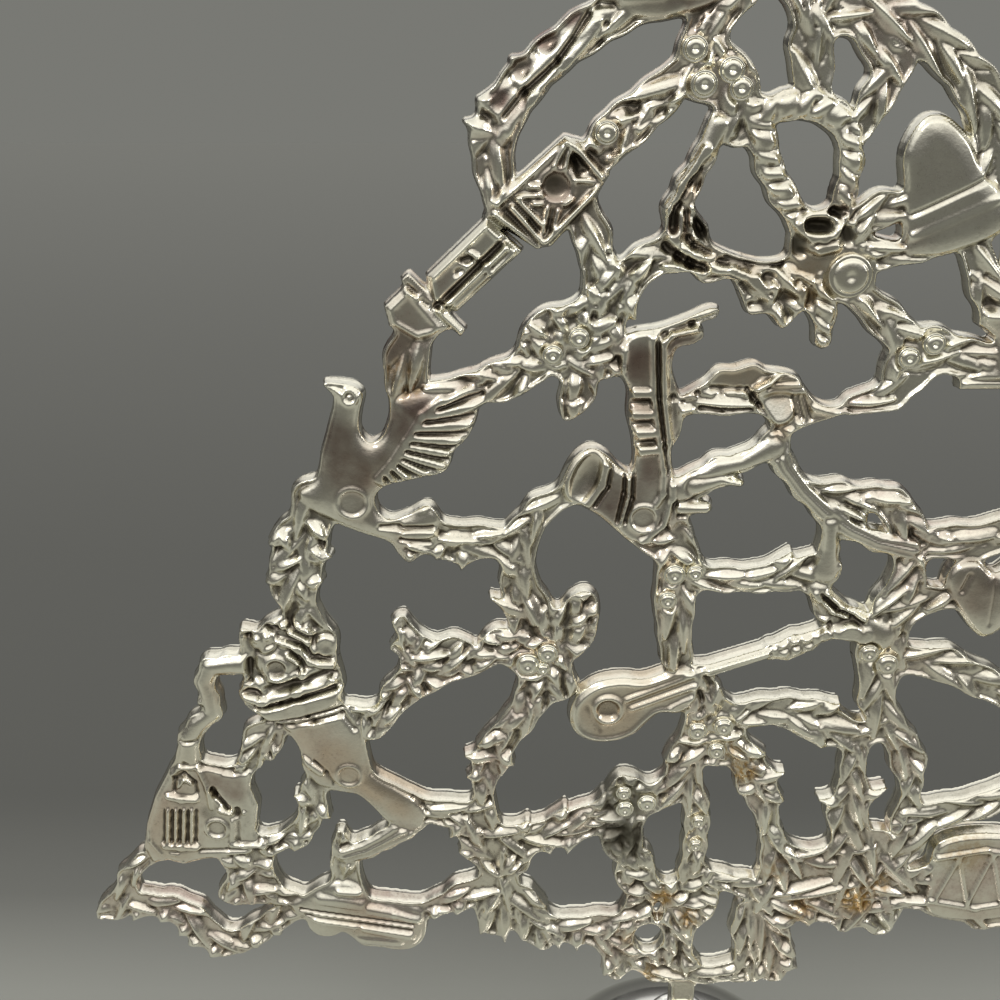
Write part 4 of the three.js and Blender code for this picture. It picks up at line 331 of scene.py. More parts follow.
# Ridges and grooves: width and height, negative where they are cut in, then x and z along each.
RIDGES = named_rows("""
upper left bough: 2.4 -0.6 -20.4 198.4 -25.6 193.8 -28.9 190.6, 2.2 -0.5 -28.9 190.6 -31.8 186.5,
  1.9 0.75 -19.6 195.4 -23 190.9 -27 186.6, 1.7 0.6 -27 186.6 -29.9 182.6,
  0.6 -0.5 -20.4 196.9 -24.2 191.3 -28.4 187.7 -31 184.6;
lantern head: 1.1 0.7 -31.9 173.9 -23.3 182.1, 0.9 0.7 -22.6 181.7 -17.5 176.6,
  0.8 0.7 -18.3 175.9 -25.6 168.6, 0.7 0.6 -29.8 173.3 -26.1 169.2, 0.5 -0.35 -24 181 -30.6 174.9,
  0.5 0.55 -23.2 180.9 -24.5 178.5, 0.5 0.55 -22.5 180.5 -23 178.3, 0.5 0.5 -21.6 176.8 -19.4 176.6,
  0.5 0.55 -25.2 173.3 -25.7 170.1, 0.5 0.5 -23.8 173 -24.4 170.6, 0.6 0.7 -29.2 174.5 -26 171.2,
  0.5 0.55 -28.9 174.7 -26 174.9, 0.7 0.6 -27 173.8 -26 173.8, 0.7 0.5 -27.5 176 -26.5 176,
  0.6 0.5 -22.9 173.7 -22.1 174.3, 1 -0.6 -21.7 179.5 -21.2 178.1, 0.8 -0.5 -21.3 179.3 -20.3 178.3,
  0.4 -0.4 -27.6 171.8 -26.4 170.1, 0.35 -0.3 -24.9 171.8 -25.2 170.3, 0.9 0.45 -32 172.4 -27.2 168,
  0.5 -0.35 -30.8 173 -26.5 168.6;
lantern pole, flare and cup: 0.7 -0.55 -30.7 169.2 -40.1 160, 0.6 0.6 -30.6 168 -39.5 159.5,
  0.7 0.45 -33.2 171.2 -40.3 164.3, 0.6 0.6 -33.4 165.8 -32.5 164.5, 0.45 0.4 -32.5 164.5 -29.5 167,
  0.6 0.55 -35.3 167.4 -34.4 166.8, 1 -0.5 -36.3 166.3 -35.4 166.6, 0.9 -0.4 -37.1 164.7 -36.5 165.1,
  0.6 0.6 -44.2 162.5 -42.3 161.4 -38.3 157, 0.7 0.5 -40 159.5 -36.4 156.3, 0.5 -0.45 -44 162.9 -41.1 160.3;
lantern neck: 0.7 0.35 -12 185.8 -8.4 187, 0.7 0.35 -13.6 182.9 -9.6 185.1, 0.7 0.35 -17.4 179.3 -13.9 180.9;
dove, wing border and tail feathers: 1 0.35 -39.4 147 -42.2 144.7 -44.5 140.9 -46.6 137.6 -48.8 135.2,
  0.8 0.4 -47.5 128.7 -41.8 130.9, 0.6 -0.45 -48.7 127.8 -45.9 127.9, 0.9 0.5 -45.1 126.7 -41.3 126.8,
  0.5 -0.45 -45.9 125.9 -41.5 125.4, 0.7 0.45 -44.4 124.7 -41.7 123.8, 0.45 -0.35 -45.2 124.4 -42.4 122.7,
  0.45 -0.45 -45.9 127.6 -41 127.8, 0.5 -0.3 -55.4 149.3 -53.1 148.4;
saxophone:
  0.8 0.5 -3.3 157.2 -8.1 156.4 -9.2 155 -8.8 147.3 -7.8 140.7 -7 136.3 -6.8 132.2 -7.9 128 -10.9 125.5,
  0.8 0.45 -10.7 155.8 -10.1 147.3 -8.9 140.7 -8.2 136.6 -8.2 133 -9.1 131.3,
  0.5 -0.5 -9.9 155 -9.4 147.3 -8.3 140.4 -7.6 136.3, 1.1 0.6 -13.3 148 -10.9 148,
  1.1 0.6 -13.3 144.9 -10.6 144.9, 1.1 0.6 -12.8 142.1 -10 142.2, 1.1 0.6 -11.9 139.5 -9.5 139.7,
  0.5 -0.4 -13.2 146.6 -10.8 146.6, 0.5 -0.4 -13.1 143.5 -10.5 143.6, 0.5 -0.4 -12.6 140.7 -9.9 140.8,
  0.8 -0.5 -9.3 156.3 -5.5 157.8 -2.1 159, 1.6 -0.35 -6.9 155.6 -4.5 156.1,
  1 -0.35 -7.9 152.5 -7.3 147.3 -6.6 142, 0.7 0.35 -14.3 154.2 -14.5 151.7 -14.1 149.4,
  0.45 -0.5 -13.6 136.2 -13.7 133 -14.5 128.5, 0.5 0.4 -13.1 136.2 -13.1 132.5 -14.1 128.2,
  0.45 -0.5 -12.5 136.2 -12.5 132.2 -13.4 128.5, 1.1 0.45 -18.9 131.3 -16.9 134.4 -16.4 137.2,
  0.5 -0.4 -17.9 130.9 -16.1 134 -15.6 136.6;
guitar: 0.9 0.35 -12 98.8 -2.5 103, 0.9 0.35 -11.2 97.2 -1.8 101.2, 0.8 0.3 -5.2 97.3 -2 99.1,
  0.6 0.35 0 103.9 9.4 107.2, 0.6 0.35 0.5 103 9.4 106.3, 0.6 -0.15 -18 97.6 -15.8 93.4;
stocking, cuff rolls and creases: 4.8 -0.45 -69.2 97.6 -56 101.2, 1.5 0.8 -70.6 98.9 -67.9 98.3 -62.5 100.1,
  1.6 0.8 -62.5 100.1 -56.4 102.3, 2.3 0.95 -67.9 95.7 -62.6 97.3 -56.1 99.5,
  0.5 -0.6 -69.1 97 -65.2 98 -56.6 100.7, 0.5 -0.6 -67.7 94.4 -61.2 95.7 -55.2 97.3,
  0.7 -0.5 -65.7 93.7 -60.2 94.9 -55.7 96.2, 0.7 -0.4 -55.7 96.2 -53.9 93.3, 0.5 0.3 -62.8 94.2 -58.9 94.7,
  1.2 0.45 -62.2 87.8 -59.6 85.7, 0.4 -0.4 -60.6 87.6 -58.7 85.6 -57.7 83.2,
  0.5 -0.4 -51.6 85.1 -48 82.7 -45.2 80.5 -43.1 77.6;
toys, wrapping and ribbons: 1.5 0.75 -69 101.1 -61.5 102.9, 1.4 0.75 -61.5 102.9 -56.4 105.6,
  0.7 -0.5 -69.4 105.4 -69.5 101.8, 1.1 0.9 -64.6 108.6 -61.8 107.7 -60.1 105.4, 1 0.9 -60.1 105.4 -56.8 104.8,
  0.6 0.7 -63.4 106.4 -61.9 105.2 -61.4 103.6, 0.9 0.9 -62.9 110.4 -60.2 108.9,
  0.8 0.8 -60.2 108.9 -59.4 106.9, 0.8 0.7 -61.8 111.6 -59.6 110.2, 1.6 0.6 -70 111.6 -68.6 111.7,
  0.5 -0.5 -70.2 110 -68.9 109.4, 0.5 -0.5 -66.9 111.7 -64.8 110.7;
church: 1 0.6 -84 80.9 -82 80.4 -79.8 80.3, 1.1 0.6 -85.5 71.3 -82.9 71.1 -80.5 70.9,
  0.8 0.55 -74.8 71.5 -72.6 71.4 -70.3 71.4, 0.6 0.5 -83.1 85.2 -81.6 86.5 -79.6 86.3,
  0.45 -0.45 -83.1 81.9 -82.7 84.2 -81.1 85.2 -79.6 83.5 -79.5 81.5, 0.35 0.4 -82.3 82.7 -81.2 84.2 -80.1 83.2,
  0.7 0.4 -78.9 86.5 -77.6 82.2 -77.4 78.7, 0.7 -0.8 -77 82.2 -76.5 80.9 -74.7 78.3,
  0.6 0.5 -76.1 78.2 -74.5 77.7, 0.4 -0.5 -81.6 91.1 -78.4 91.2, 0.9 -0.5 -73.4 78.2 -73.5 77,
  0.5 0.35 -74.3 76.2 -74.6 72, 0.4 -0.3 -73.3 76.1 -73.6 72.1, 0.4 -0.35 -85 78.3 -85.7 71.9,
  0.5 0.4 -84.4 78.2 -85.1 72, 0.5 0.4 -83.1 78.2 -83.8 72, 0.5 0.4 -81.8 78.2 -82.5 72,
  0.5 0.4 -80.6 78.2 -81.2 72, 0.35 -0.45 -83.7 78.2 -84.4 72, 0.35 -0.45 -82.5 78.2 -83.2 72,
  0.35 -0.45 -81.2 78.2 -81.9 72, 0.35 -0.45 -79.9 78.2 -80.6 72, 0.4 0.35 -84.9 69.6 -83.4 69.5,
  0.5 -0.35 -80.2 70.3 -75.6 70.4 -68.3 70.2, 0.4 0.3 -88.3 75.7 -88 72.3 -86.2 69.4;
bugle: 1.7 0.45 -61 60.4 -54.5 59.2, 1.5 0.45 -53 58.2 -49.4 57.4, 1.3 0.45 -62 56.2 -55.6 54.9,
  1.3 0.45 -54 54.4 -46.5 52.6, 1.5 0.45 -55.2 51.8 -48.5 51.2, 0.6 -0.55 -64.5 58.2 -46 54.9,
  0.5 -0.45 -63.8 57 -46.2 53.8, 1.2 0.35 -48.6 57.2 -45 56, 1 0.35 -58 62 -54.6 61.6;
bar left of the bow, oval hollow and roll: 2 -0.6 -5.2 178.7 -5.9 176.4 -6.9 173.6,
  1.1 0.6 -5 180.6 -6.4 178.3 -8.1 176 -9.5 173 -10 170.4, 0.6 -0.5 -5.5 178.3 -6.9 176.4 -8.1 173.7,
  0.6 0.6 -4.7 176.3 -5.7 174.1, 0.4 -0.4 -5 175.5 -5.9 174.5, 1.4 -0.7 -8.5 173.2 -8.7 170.8,
  0.9 0.5 -7.9 172.8 -7.9 170, 0.5 -0.5 -7.1 172.6 -6.4 169.1,
  0.8 0.6 -6.3 173.2 -5.2 173.4 -4.1 171.9 -3 170.4 -2.7 169.1,
  0.6 0.5 -6.2 173 -6.3 171.3 -5.4 169.3 -4.2 168.2, 2.3 -1.1 -5.4 172.1 -4.9 170.6 -4.1 169.3,
  0.7 -0.5 -6.7 169.3 -5.7 168.2 -3.7 167.3, 1.5 0.6 -8.8 169.3 -7 167.7 -5.2 167 -3.4 166.3,
  1.1 -0.7 -9.4 168.2 -7.6 166.7 -6 165.8 -4.2 165.2, 0.8 0.5 -2 168 0.3 167.1 3 166.5 6 166.9,
  0.5 -0.5 -1.5 167.1 1.2 166.2 4.8 165.7 6.1 165.9, 1.4 0.8 -3.3 165.1 -0.5 164.9 2.7 163.6 4.8 162.9;
leaves right of the saxophone: 0.5 -0.4 -2.3 148.6 3.5 148.3, 0.6 0.6 3.3 148.3 5.5 149.4 7.4 150.9,
  2.2 0.6 5.1 148.7 10.6 149.1, 0.4 -0.35 5.5 148.6 10.4 148.7, 0.4 -0.35 6.6 149.4 10.3 149.7,
  0.7 -0.5 2.8 148.2 4.6 146 6.7 143.1, 0.5 0.4 2.4 148 4.2 145.7 5.2 144.3 6.5 142.7,
  0.4 -0.4 9.1 147.3 9.9 144.6, 0.4 -0.4 9.9 147.4 11 144.1, 0.4 -0.4 10.7 147.5 12 144.1,
  0.5 -0.4 -4.6 146 -0.4 145.5 3 145.5, 1 0.35 12.2 145.8 15.4 144.8;
ring of the bow:
  1.5 0.6 12.8 170.9 12.4 170.1 11.2 169.6 9.7 169.6 8.4 170.1 7.9 170.9 8.3 171.7 9.5 172.2 11 172.2 12.2 171.7
  12.8 170.9, 1.9 -1.2 9.3 171 11.8 171, 1 -0.7 12.2 172.7 13.4 172.7, 1.8 -0.7 7.8 169.1 8.3 167.7, 1.2 0.8
  10.8 167.7 12.9 168.2, 1.4 -0.7 14.2 170.2 14.7 169;
link to the headstock: 0.8 0.6 15.2 116.9 18 114 20.4 113, 0.5 -0.5 16 116.9 18.6 114.3 21.2 113.1,
  0.8 0.6 16.9 116.9 19.2 114.9 22.8 112.8, 2.4 0.8 18.9 110 21 110.7 22.9 110, 0.8 -0.4 17.4 109.1 21.7 109,
  0.8 0.6 16.8 112.4 17.2 109.8, 0.5 -0.5 17.8 112.1 18.4 109.8, 0.6 -0.4 14.4 115.5 16.8 112.8;
bells, candle, heart, gift, drum and fir: 0.9 0.3 -16.2 198.6 -4.4 199.6, 0.6 -0.3 -14.4 201.4 -4.6 202.4,
  0.8 0.3 -11 210.2 -6.6 209.8, 2 0.35 -10 196.2 -9.8 197.6, 0.9 0.3 22.6 169.6 33.6 174.6,
  0.6 -0.3 22.2 172.4 31.6 177, 0.6 -0.35 32 149.8 43.4 149.8, 0.8 0.3 34 158.8 42 158.8,
  1.4 0.3 37.8 152 37.8 156, 0.8 -0.3 36.6 117.6 37.4 120.2, 0.5 -0.2 41.4 119.4 41.4 112,
  2.6 0.35 61.7 86.6 61.7 104, 2.6 0.35 53.2 93 70.2 93, 0.6 -0.5 51.8 99.8 71.6 99.8,
  0.7 -0.4 61.7 104.4 67.6 107.6, 0.7 -0.4 61.7 104.4 55.8 107.6, 0.9 0.4 39.4 60.2 47.2 58.6 55 60.2,
  0.9 0.4 39.4 68.8 47.2 70.4 55 68.8, 0.6 0.35 40.4 60.6 43.2 69 45.8 59.6 48.6 69.6 51.4 59.8 54 68.6,
  0.6 -0.5 77.4 81.4 86 81.4, 0.6 -0.5 74.8 75.3 87.6 75.3""")

# The fan of feathers on the dove's wing: x and z of both ends.
FEATHERS = number_rows("""
-39.1 146.8 -33.8 149.5, -41 144.7 -33.8 146.4, -42.7 143 -35.1 143.4, -43.8 141.4 -37.1 140.9,
-44.3 140.2 -38 139, -44.7 138.8 -39.2 137.1, -45.2 137.8 -41.9 135.8, -46.2 136.9 -44.5 135.2,
-47.2 136.1 -46.4 134.4, -48.4 135.2 -47.6 133.8""")

# Round grounds under toys and bands: x, z, radius, level and, where they lean back, their slope.
PADS = number_rows("""
-65.2 104.8 4.8 -0.75, -60 104.6 3.4 -0.7, -67 109 3.4 -0.75, -58 107.8 3 -0.7, -62.4 108.6 2.6 -0.7,
-2.8 149.4 1.5 -0.5, -1 150 1.9 -0.6, 0.8 150.4 2 -0.6, 2.7 150.4 2 -0.6, 4.5 150.4 1.9 -0.6,
6.6 150.1 1.8 -0.6, 8.5 149.4 1.9 -0.5, 9.7 148.7 1.6 -0.4, 5.7 147 1.9 -0.35, 7 145.1 2 -0.35,
8.4 144.6 2 -0.4, 10.2 145.8 2 -0.5, 11.6 145.1 1.8 -0.5, 13.5 144.8 1.6 -0.4, -8.1 171.9 2 -0.3,
-5.4 170 2.6 -0.25, -3.8 168.2 2 -0.3, -6.3 167.1 2.2 -0.4, 0.3 166.5 1.4 -0.4, 3.9 166 1.4 -0.4,
7.8 168.4 2 -0.4, 10 166.5 2.2 -0.45, 12.8 166.7 2.2 -0.45, 14.3 169.5 1.4 -0.4, 17.9 114.9 2.2 -0.35,
19.9 112.8 2 -0.35, 7.3 145.8 2.4 -0.2 0.36, 10.4 170.7 3.3 -0.5 0.3, 21 110.7 2.2 -0.1 0.35,
-71 110.4 1.6 -0.1, -21.6 196.2 2.2 -0.1, -24.6 192.8 2.4 -0.1, -27.6 189.8 2.4 -0.1, -30.4 186 2.2 -0.1""")

# Round details of three kinds: x, z, radius and height.
BOSSES = named_rows("""
pit: -24.1 176 2.35 0.4, -52.2 147.4 1.1 0.35, -14.8 97 2.3 0.6, -65.3 104.2 1.9 0.45;
knob: -17.8 182.7 1.6 0.5, -18.9 180.9 1 0.4, -14.6 185.6 0.8 -0.5, -52.2 147.4 0.4 0.45, -44.4 122.7 0.9 0.4,
  -67 108.8 2.1 0.85, -68 109.2 0.6 0.45, -66.4 109.6 0.6 0.45, -67 107.9 0.4 0.3, -65.2 104.8 3.3 0.8,
  -57.6 107.9 1.9 0.9, -57.6 107.9 0.9 -0.4, -65.4 112.2 0.9 0.6, -63.6 111.4 0.8 0.6, -72.3 77.7 0.5 0.4,
  11 108.4 0.8 0.45, 12.8 109 0.8 0.45, 14.6 109.4 0.8 0.45, 11.4 106.9 0.8 0.45, 13.2 107.3 0.8 0.45,
  15 107.9 0.8 0.45, 52.6 140 2 0.3, 0 244.6 1.8 0.2, 61.7 104.4 1.6 0.5, -86.2 67.8 0.7 0.5,
  -84.5 67.7 0.45 0.4, -82.9 67.6 0.55 0.4, 79 78.4 0.8 0.5, 83.4 79.4 0.8 0.5, 77.6 72 0.9 0.5,
  82 73.2 0.9 0.5, 86 71.6 0.9 0.5, 81.6 84.4 0.7 0.5;
rim: -52.5 131.6 2.3 0.25, -10.8 129.1 2.1 0.3, -55.2 84.9 2 0.25, -76.9 74.6 1.8 0.35""")

# The saxophone's mouth: x, z, half width, half height and turn in degrees.
SAX_MOUTH = (-19.3, 135.4, 2.2, 4.6, -20)

# Discoloured spots on the plate: x, z, radius and strength, negative for black spots. The black spots in the
# grooves of the bow's ring, of the bar beside it and its oval hollow, and in the lantern's pit and grooves are
# painted shade in those recesses.
STAINS = number_rows("""
7 85.5 2.2 0.9, 5.2 89 1.6 0.5, -4.6 60.4 2 0.8, 0 56 1.8 0.8, -6.4 43.8 1.8 0.8, 27.6 60 2.6 0.9, 31 63 2 0.6,
-11.4 80 4 -1, -12 73 3.6 -1, -10 69.6 2.6 -0.7, 18.6 57.6 2.4 0.5, 10 163 3 0.3, 13.4 66 1.8 0.5,
-9.4 52 1.6 0.5, 9.9 171 0.9 -0.9, 11.3 171 0.9 -0.9, 12.8 172.7 0.7 -0.7, 8.1 168.3 1.1 -0.8,
14.5 169.6 0.9 -0.9, -24.6 176.2 1.3 -1, -21.3 178.7 1 -0.6, -5.3 171.9 1 -0.9, -4.1 169.5 1.4 -1,
-8.7 171.7 0.9 -0.8, -78 77.8 1.2 -0.5, -45 149.6 3 0.35, 44 70 3.6 0.4, -8 202 3 0.4, 58 125 4 0.35""")

# Patina on flat places: x, z, radius and strength, positive for dark mauve and negative for pale brown. The
# dark spots along the upper left bough's groove, in the lantern's pit and grooves and in the grooves by the bow
# are painted shade in those recesses.
PATINA = number_rows("""
-54.4 141 3.2 0.9, -52.4 136.6 4.2 1, -46.4 143.4 2.6 0.9, -43.2 146.4 2.2 0.9, -49.4 139 2.6 0.8,
-51 131.4 3.4 0.35, -15 132.4 3.8 1, -16.4 130.2 2.8 1, -11.8 152 2.4 0.9, -12.2 146 2.2 0.8, -6.4 154.2 2.6 1,
-5.6 149 2 0.9, -10.2 136.6 2 0.6, -24.1 176 2.8 1, -20.6 179.4 1.6 0.7, -14.4 97.6 5.4 -0.9,
-7.6 101.6 4.4 -0.8, -14 92.6 3.6 -0.8, -60.6 91.4 3.6 -0.6, -56.6 88 4.2 -0.9, -50.4 84 4.6 -1,
-46.6 80.4 3.6 -1, -77 84 2.6 0.8, -73.8 82.6 2.6 0.7, -86 77 3.6 -0.6, -84.6 72 4 -0.4, -73.6 100.4 3.2 -0.8,
-8.4 199.6 5.2 0.7, -2.4 203 4.2 0.7, 52.4 176 5 0.6, 60 96 6 -0.5, 38 118 5 0.6, -6.2 175.8 1.9 -0.9,
-8 170.8 1.6 0.9, 1.3 165.6 1.8 -0.8, -3.7 167.3 1.4 -0.7, 0.4 150.1 2.2 -0.9, 3.8 150.4 2.2 -0.9,
7.6 148.7 2.2 -0.9, 10.6 145.8 2.2 -0.9, 13 144.8 2 -0.8, 7.9 142.4 1.5 -0.9, 9.1 166.3 2.2 -0.9,
11.8 166.2 2 -0.8, 7.5 166.9 1.6 -0.7, 14.4 166.9 1.4 0.6, -25.8 194 1.5 1, -28.9 191 1.5 1, -31.6 186.9 1.4 1,
-22.6 196.8 1.4 0.9, 13 174.4 2.6 0.8, -12 60 4 0.5, -45.6 154.6 3 0.6, -55 56.6 4 -0.5""")

# Lengths in millimetres: the drawing's border, the fillet where strokes meet, the leaves' spacing along a
# branch and over a patch, the x and z at which the outermost tips are blunted, and the wall's parting ridge.
MARGIN, FILLET = 3.0, 1.3
LEAF_SPACING, PATCH_SPACING = 2.7, 2.6
TIP_LIMITS = (98.65, 253.6)
PARTING_SHIFT, PARTING_HALF = 0.35, 0.16
# The leaves' shape: the slope of their halves, the fine streaks on them and their vein.
LEAF_SLOPE, LEAF_STREAK, LEAF_VEIN = 0.74, 0.09, 0.3
# The twisted rope's pitch, in millimetres, and the dullness of the casting's side walls.
ROPE_PITCH = 2.3
WALL_DULLNESS = 1.0
# Berries: height of the dome and depth of the foot, as shares of the berry's own height.
BERRY_DOME, BERRY_FOOT = 0.42, 0.45
# The metal left round each berry and the width of a leaf's tip, in millimetres, and the smallest distance
# between a point of the relief and the outline, as a share of a cell.
BERRY_GROUND, LEAF_TIP_WIDTH, LEAST_DISTANCE = 0.3, 0.5, 0.12
# The tang: width, depth, lower and upper end and bevel. The base: the bore in the dome, the steps of its curve
# and the radius at which the plinth stands on the plate.
TANG = (3.0, 3.2, 19.2, 38.0, 0.35)
DOME_BORE, DOME_STEPS, PLINTH_SEAT = 4.4, 56, 34.35
# The studio floor: its greys from front to back, which are painted light and shade, those that the silver sees
# further in front, a painted glow brightest just in front of the object, and its tint.
SWEEP = [(0.27, 0.275), (0.285, 0.14), (0.303, 0.088), (0.38, 0.088), (0.47, 0.104), (0.65, 0.127),
         (1.0, 0.156)]
FRONT_GLOW = [(0, 0.13), (0.1, 0.18), (0.16, 0.30), (0.21, 0.42), (0.255, 0.38)]
FLOOR_TINT = (1, 1.02, 0.93)
FLOOR_SIDE, FLOOR_FRONT, FLOOR_BACK = 4.0, -3.0, 1.45
# The studio air from straight below to straight above, and the colour in which the camera sees it.
AIR = [(0, 0.05), (0.5, 0.10), (0.58, 0.22), (0.68, 0.60), (0.80, 0.90), (1, 0.9)]
AIR_TINT = (1, 0.985, 0.95)
SEEN_AIR = (0.190, 0.191, 0.174, 1)
# Lamps: name, place, aim, size and power.
LAMPS = (
    ("back_softbox", (0.0, 1.5, 1.0), (0, 0, 0.2), (2.6, 1.2), 4.0),
    ("key_softbox", (-0.45, -0.5, 0.7), (0, 0, 0.12), (0.22, 0.14), 0.8),
    ("side_softbox", (0.75, -0.25, 0.4), (0, 0, 0.13), (0.12, 0.25), 0.45),
)
CAMERA_PLACE_MM, CAMERA_TILT, CAMERA_LENS = (-31.4, -167.2, 202.1), 67, 45.2


def smooth_outline(points, steps=5):
    """Round curve through a closed row of points."""
    rows = []
    count = len(points)
    for k in range(count):
        p = [np.array(points[(k + shift) % count], float) for shift in (-1, 0, 1, 2)]
        knots = [0.0]
        for a, b in zip(p, p[1:]):
            knots.append(knots[-1] + max(1e-6, float(np.hypot(*(b - a)))) ** 0.5)
        for step in range(steps):
            t = knots[1] + (knots[2] - knots[1]) * step / steps

            def mix(a, b, i, j):
                return a * (knots[j] - t) / (knots[j] - knots[i]) + b * (t - knots[i]) / (knots[j] - knots[i])

            first = [mix(p[n], p[n + 1], n, n + 1) for n in range(3)]
            second = [mix(first[n], first[n + 1], n, n + 2) for n in range(2)]
            rows.append(mix(second[0], second[1], 1, 2))
    return np.array(rows)


def figure_outline(name):
    """The closed outline of one ornament."""
    if name in STARS:
        x, z, outer, inner, arms, turn = STARS[name]
        angles = [math.radians(turn + k * 180 / arms) for k in range(arms * 2)]
        return np.array([(x + (outer, inner)[k % 2] * math.cos(a), z + (outer, inner)[k % 2] * math.sin(a))
                         for k, a in enumerate(angles)])
    return np.array(OUTLINES[name]) if name in SHARP else smooth_outline(OUTLINES[name])


def soft_step(value):
    """0 below 0, 1 above 1 and smooth between."""
    value = np.clip(value, 0, 1)
    return value * value * (3 - 2 * value)


def bell(value, middle, width):
    """1 at the middle, falling smoothly to 0 on both sides."""
    return np.exp(-((value - middle) / width) ** 2)


class Sheet:
    """One value for each small cell of the drawing."""

    def __init__(self, cell, low, high, value):
        self.cell, self.low = cell, low
        self.x = np.arange(low[0], high[0], cell)
        self.z = np.arange(low[1], high[1], cell)
        self.values = np.full((len(self.z), len(self.x)), float(value))

    def blank(self, value):
        """A sheet of the same size with one value throughout."""
        far = (self.x[-1] + self.cell / 2, self.z[-1] + self.cell / 2)
        return Sheet(self.cell, self.low, far, value)

    def window(self, points, reach):
        """The part of the sheet near some points, with its x and z."""
        points = np.asarray(points, float)
        spans = []
        for axis, line in ((1, self.z), (0, self.x)):
            first = int((points[:, axis].min() - reach - self.low[axis]) / self.cell)
            last = int((points[:, axis].max() + reach - self.low[axis]) / self.cell) + 2
            spans.append(slice(max(0, first), max(0, min(len(line), last))))
        return tuple(spans), self.x[spans[1]][None, :], self.z[spans[0]][:, None]

    def round_window(self, middle_x, middle_z, radius, reach):
        """The part of the sheet within some radii of a point, with the distance from it in radii."""
        spans, x, z = self.window([(middle_x, middle_z)], radius * reach)
        return spans, np.hypot(x - middle_x, z - middle_z) / radius

    def blend(self, spans, face, weight):
        """Moves the values of one part of the sheet towards a face."""
        self.values[spans] += (face - self.values[spans]) * weight

    def blurred(self, reach):
        """A softened copy of the values."""
        steps = max(1, int(round(reach / self.cell)))
        result = self.values
        for axis in (0, 1, 0, 1):
            padded = np.concatenate([np.repeat(result.take([0], axis), steps + 1, axis), result,
                                     np.repeat(result.take([-1], axis), steps, axis)], axis)
            sums = np.cumsum(padded, axis)
            count = result.shape[axis]
            wide = 2 * steps + 1
            result = (sums.take(range(wide, wide + count), axis) - sums.take(range(count), axis)) / wide
        return result


def stroke_distance(x, z, a, b):
    """Distance to a tapering stroke, negative inside, and how far along it and across it each point lies."""
    dx, dz = b[0] - a[0], b[1] - a[1]
    length = math.hypot(dx, dz) or 1e-6
    along = ((x - a[0]) * dx + (z - a[1]) * dz) / length ** 2
    across = ((x - a[0]) * dz - (z - a[1]) * dx) / length
    t = np.clip(along, 0, 1)
    away = np.hypot(x - a[0] - t * dx, z - a[1] - t * dz)
    return away - (a[2] + t * (b[2] - a[2])) / 2, t, across


def outline_distance(x, z, outline):
    """Distance to a closed outline, negative inside."""
    nearest = np.full(np.broadcast(x, z).shape, 1e9)
    inside = np.zeros(nearest.shape, bool)
    for (ax, az), (bx, bz) in zip(np.roll(outline, 1, 0), outline):
        dx, dz = bx - ax, bz - az
        t = np.clip(((x - ax) * dx + (z - az) * dz) / max(dx * dx + dz * dz, 1e-12), 0, 1)
        nearest = np.minimum(nearest, np.hypot(x - ax - t * dx, z - az - t * dz))
        if az != bz:
            inside ^= ((az > z) != (bz > z)) & (x < ax + dx * (z - az) / dz)
    return np.where(inside, -nearest, nearest)


def join_softly(a, b, width):
    """Two distances joined with a fillet."""
    h = np.maximum(0, width - np.abs(a - b)) / width
    return np.minimum(a, b) - h * h * width / 4


def all_branches():
    """Every branch by name, those of the right-hand side included."""
    found = dict(BRANCHES)
    found.update({name + "_mirrored": [(-x, z, width) for x, z, width in BRANCHES[name]] for name in MIRRORED})
    found.update(RIGHT_BRANCHES)
    found["trunk"] = TRUNK
    return found


def trace_casting(cell):
    """The distance sheet of the whole casting, negative in the metal."""
    branches = all_branches()
    outlines = [smooth_outline(rows) for rows in PATCHES.values()]
    outlines += [figure_outline(name) for name in FINISHES]
    everything = np.concatenate([np.array(rows)[:, :2] for rows in branches.values()] + outlines)
    low, high = everything.min(0) - 2 * MARGIN, everything.max(0) + 2 * MARGIN
    sheet = Sheet(cell, low, high, MARGIN)

    def add(points, reach, distance):
        spans, x, z = sheet.window(points, reach + MARGIN)
        sheet.values[spans] = join_softly(sheet.values[spans], distance(x, z), FILLET)

    strokes = [pair for rows in branches.values() for pair in zip(rows, rows[1:])]
    strokes += [((x0, z0, width), (x1, z1, LEAF_TIP_WIDTH)) for x0, z0, x1, z1, width in LEAVES]
    for a, b in strokes:
        add([a[:2], b[:2]], max(a[2], b[2]) / 2, lambda x, z: stroke_distance(x, z, a, b)[0])
    for outline in outlines:
        add(outline, 0, lambda x, z: outline_distance(x, z, outline))
    for bx, bz, radius in BERRIES:
        add([(bx, bz)], radius, lambda x, z: np.hypot(x - bx, z - bz) - radius - BERRY_GROUND)
    for hx, hz, half_width, half_height in OVAL_OPENINGS:
        hole = np.hypot((sheet.x[None, :] - hx) / half_width, (sheet.z[:, None] - hz) / half_height)
        sheet.values = np.maximum(sheet.values, (1 - hole) * min(half_width, half_height))
    blunt = np.maximum(np.abs(sheet.x)[None, :] - TIP_LIMITS[0], sheet.z[:, None] - TIP_LIMITS[1])
    sheet.values = np.maximum(sheet.values, blunt)
    return sheet


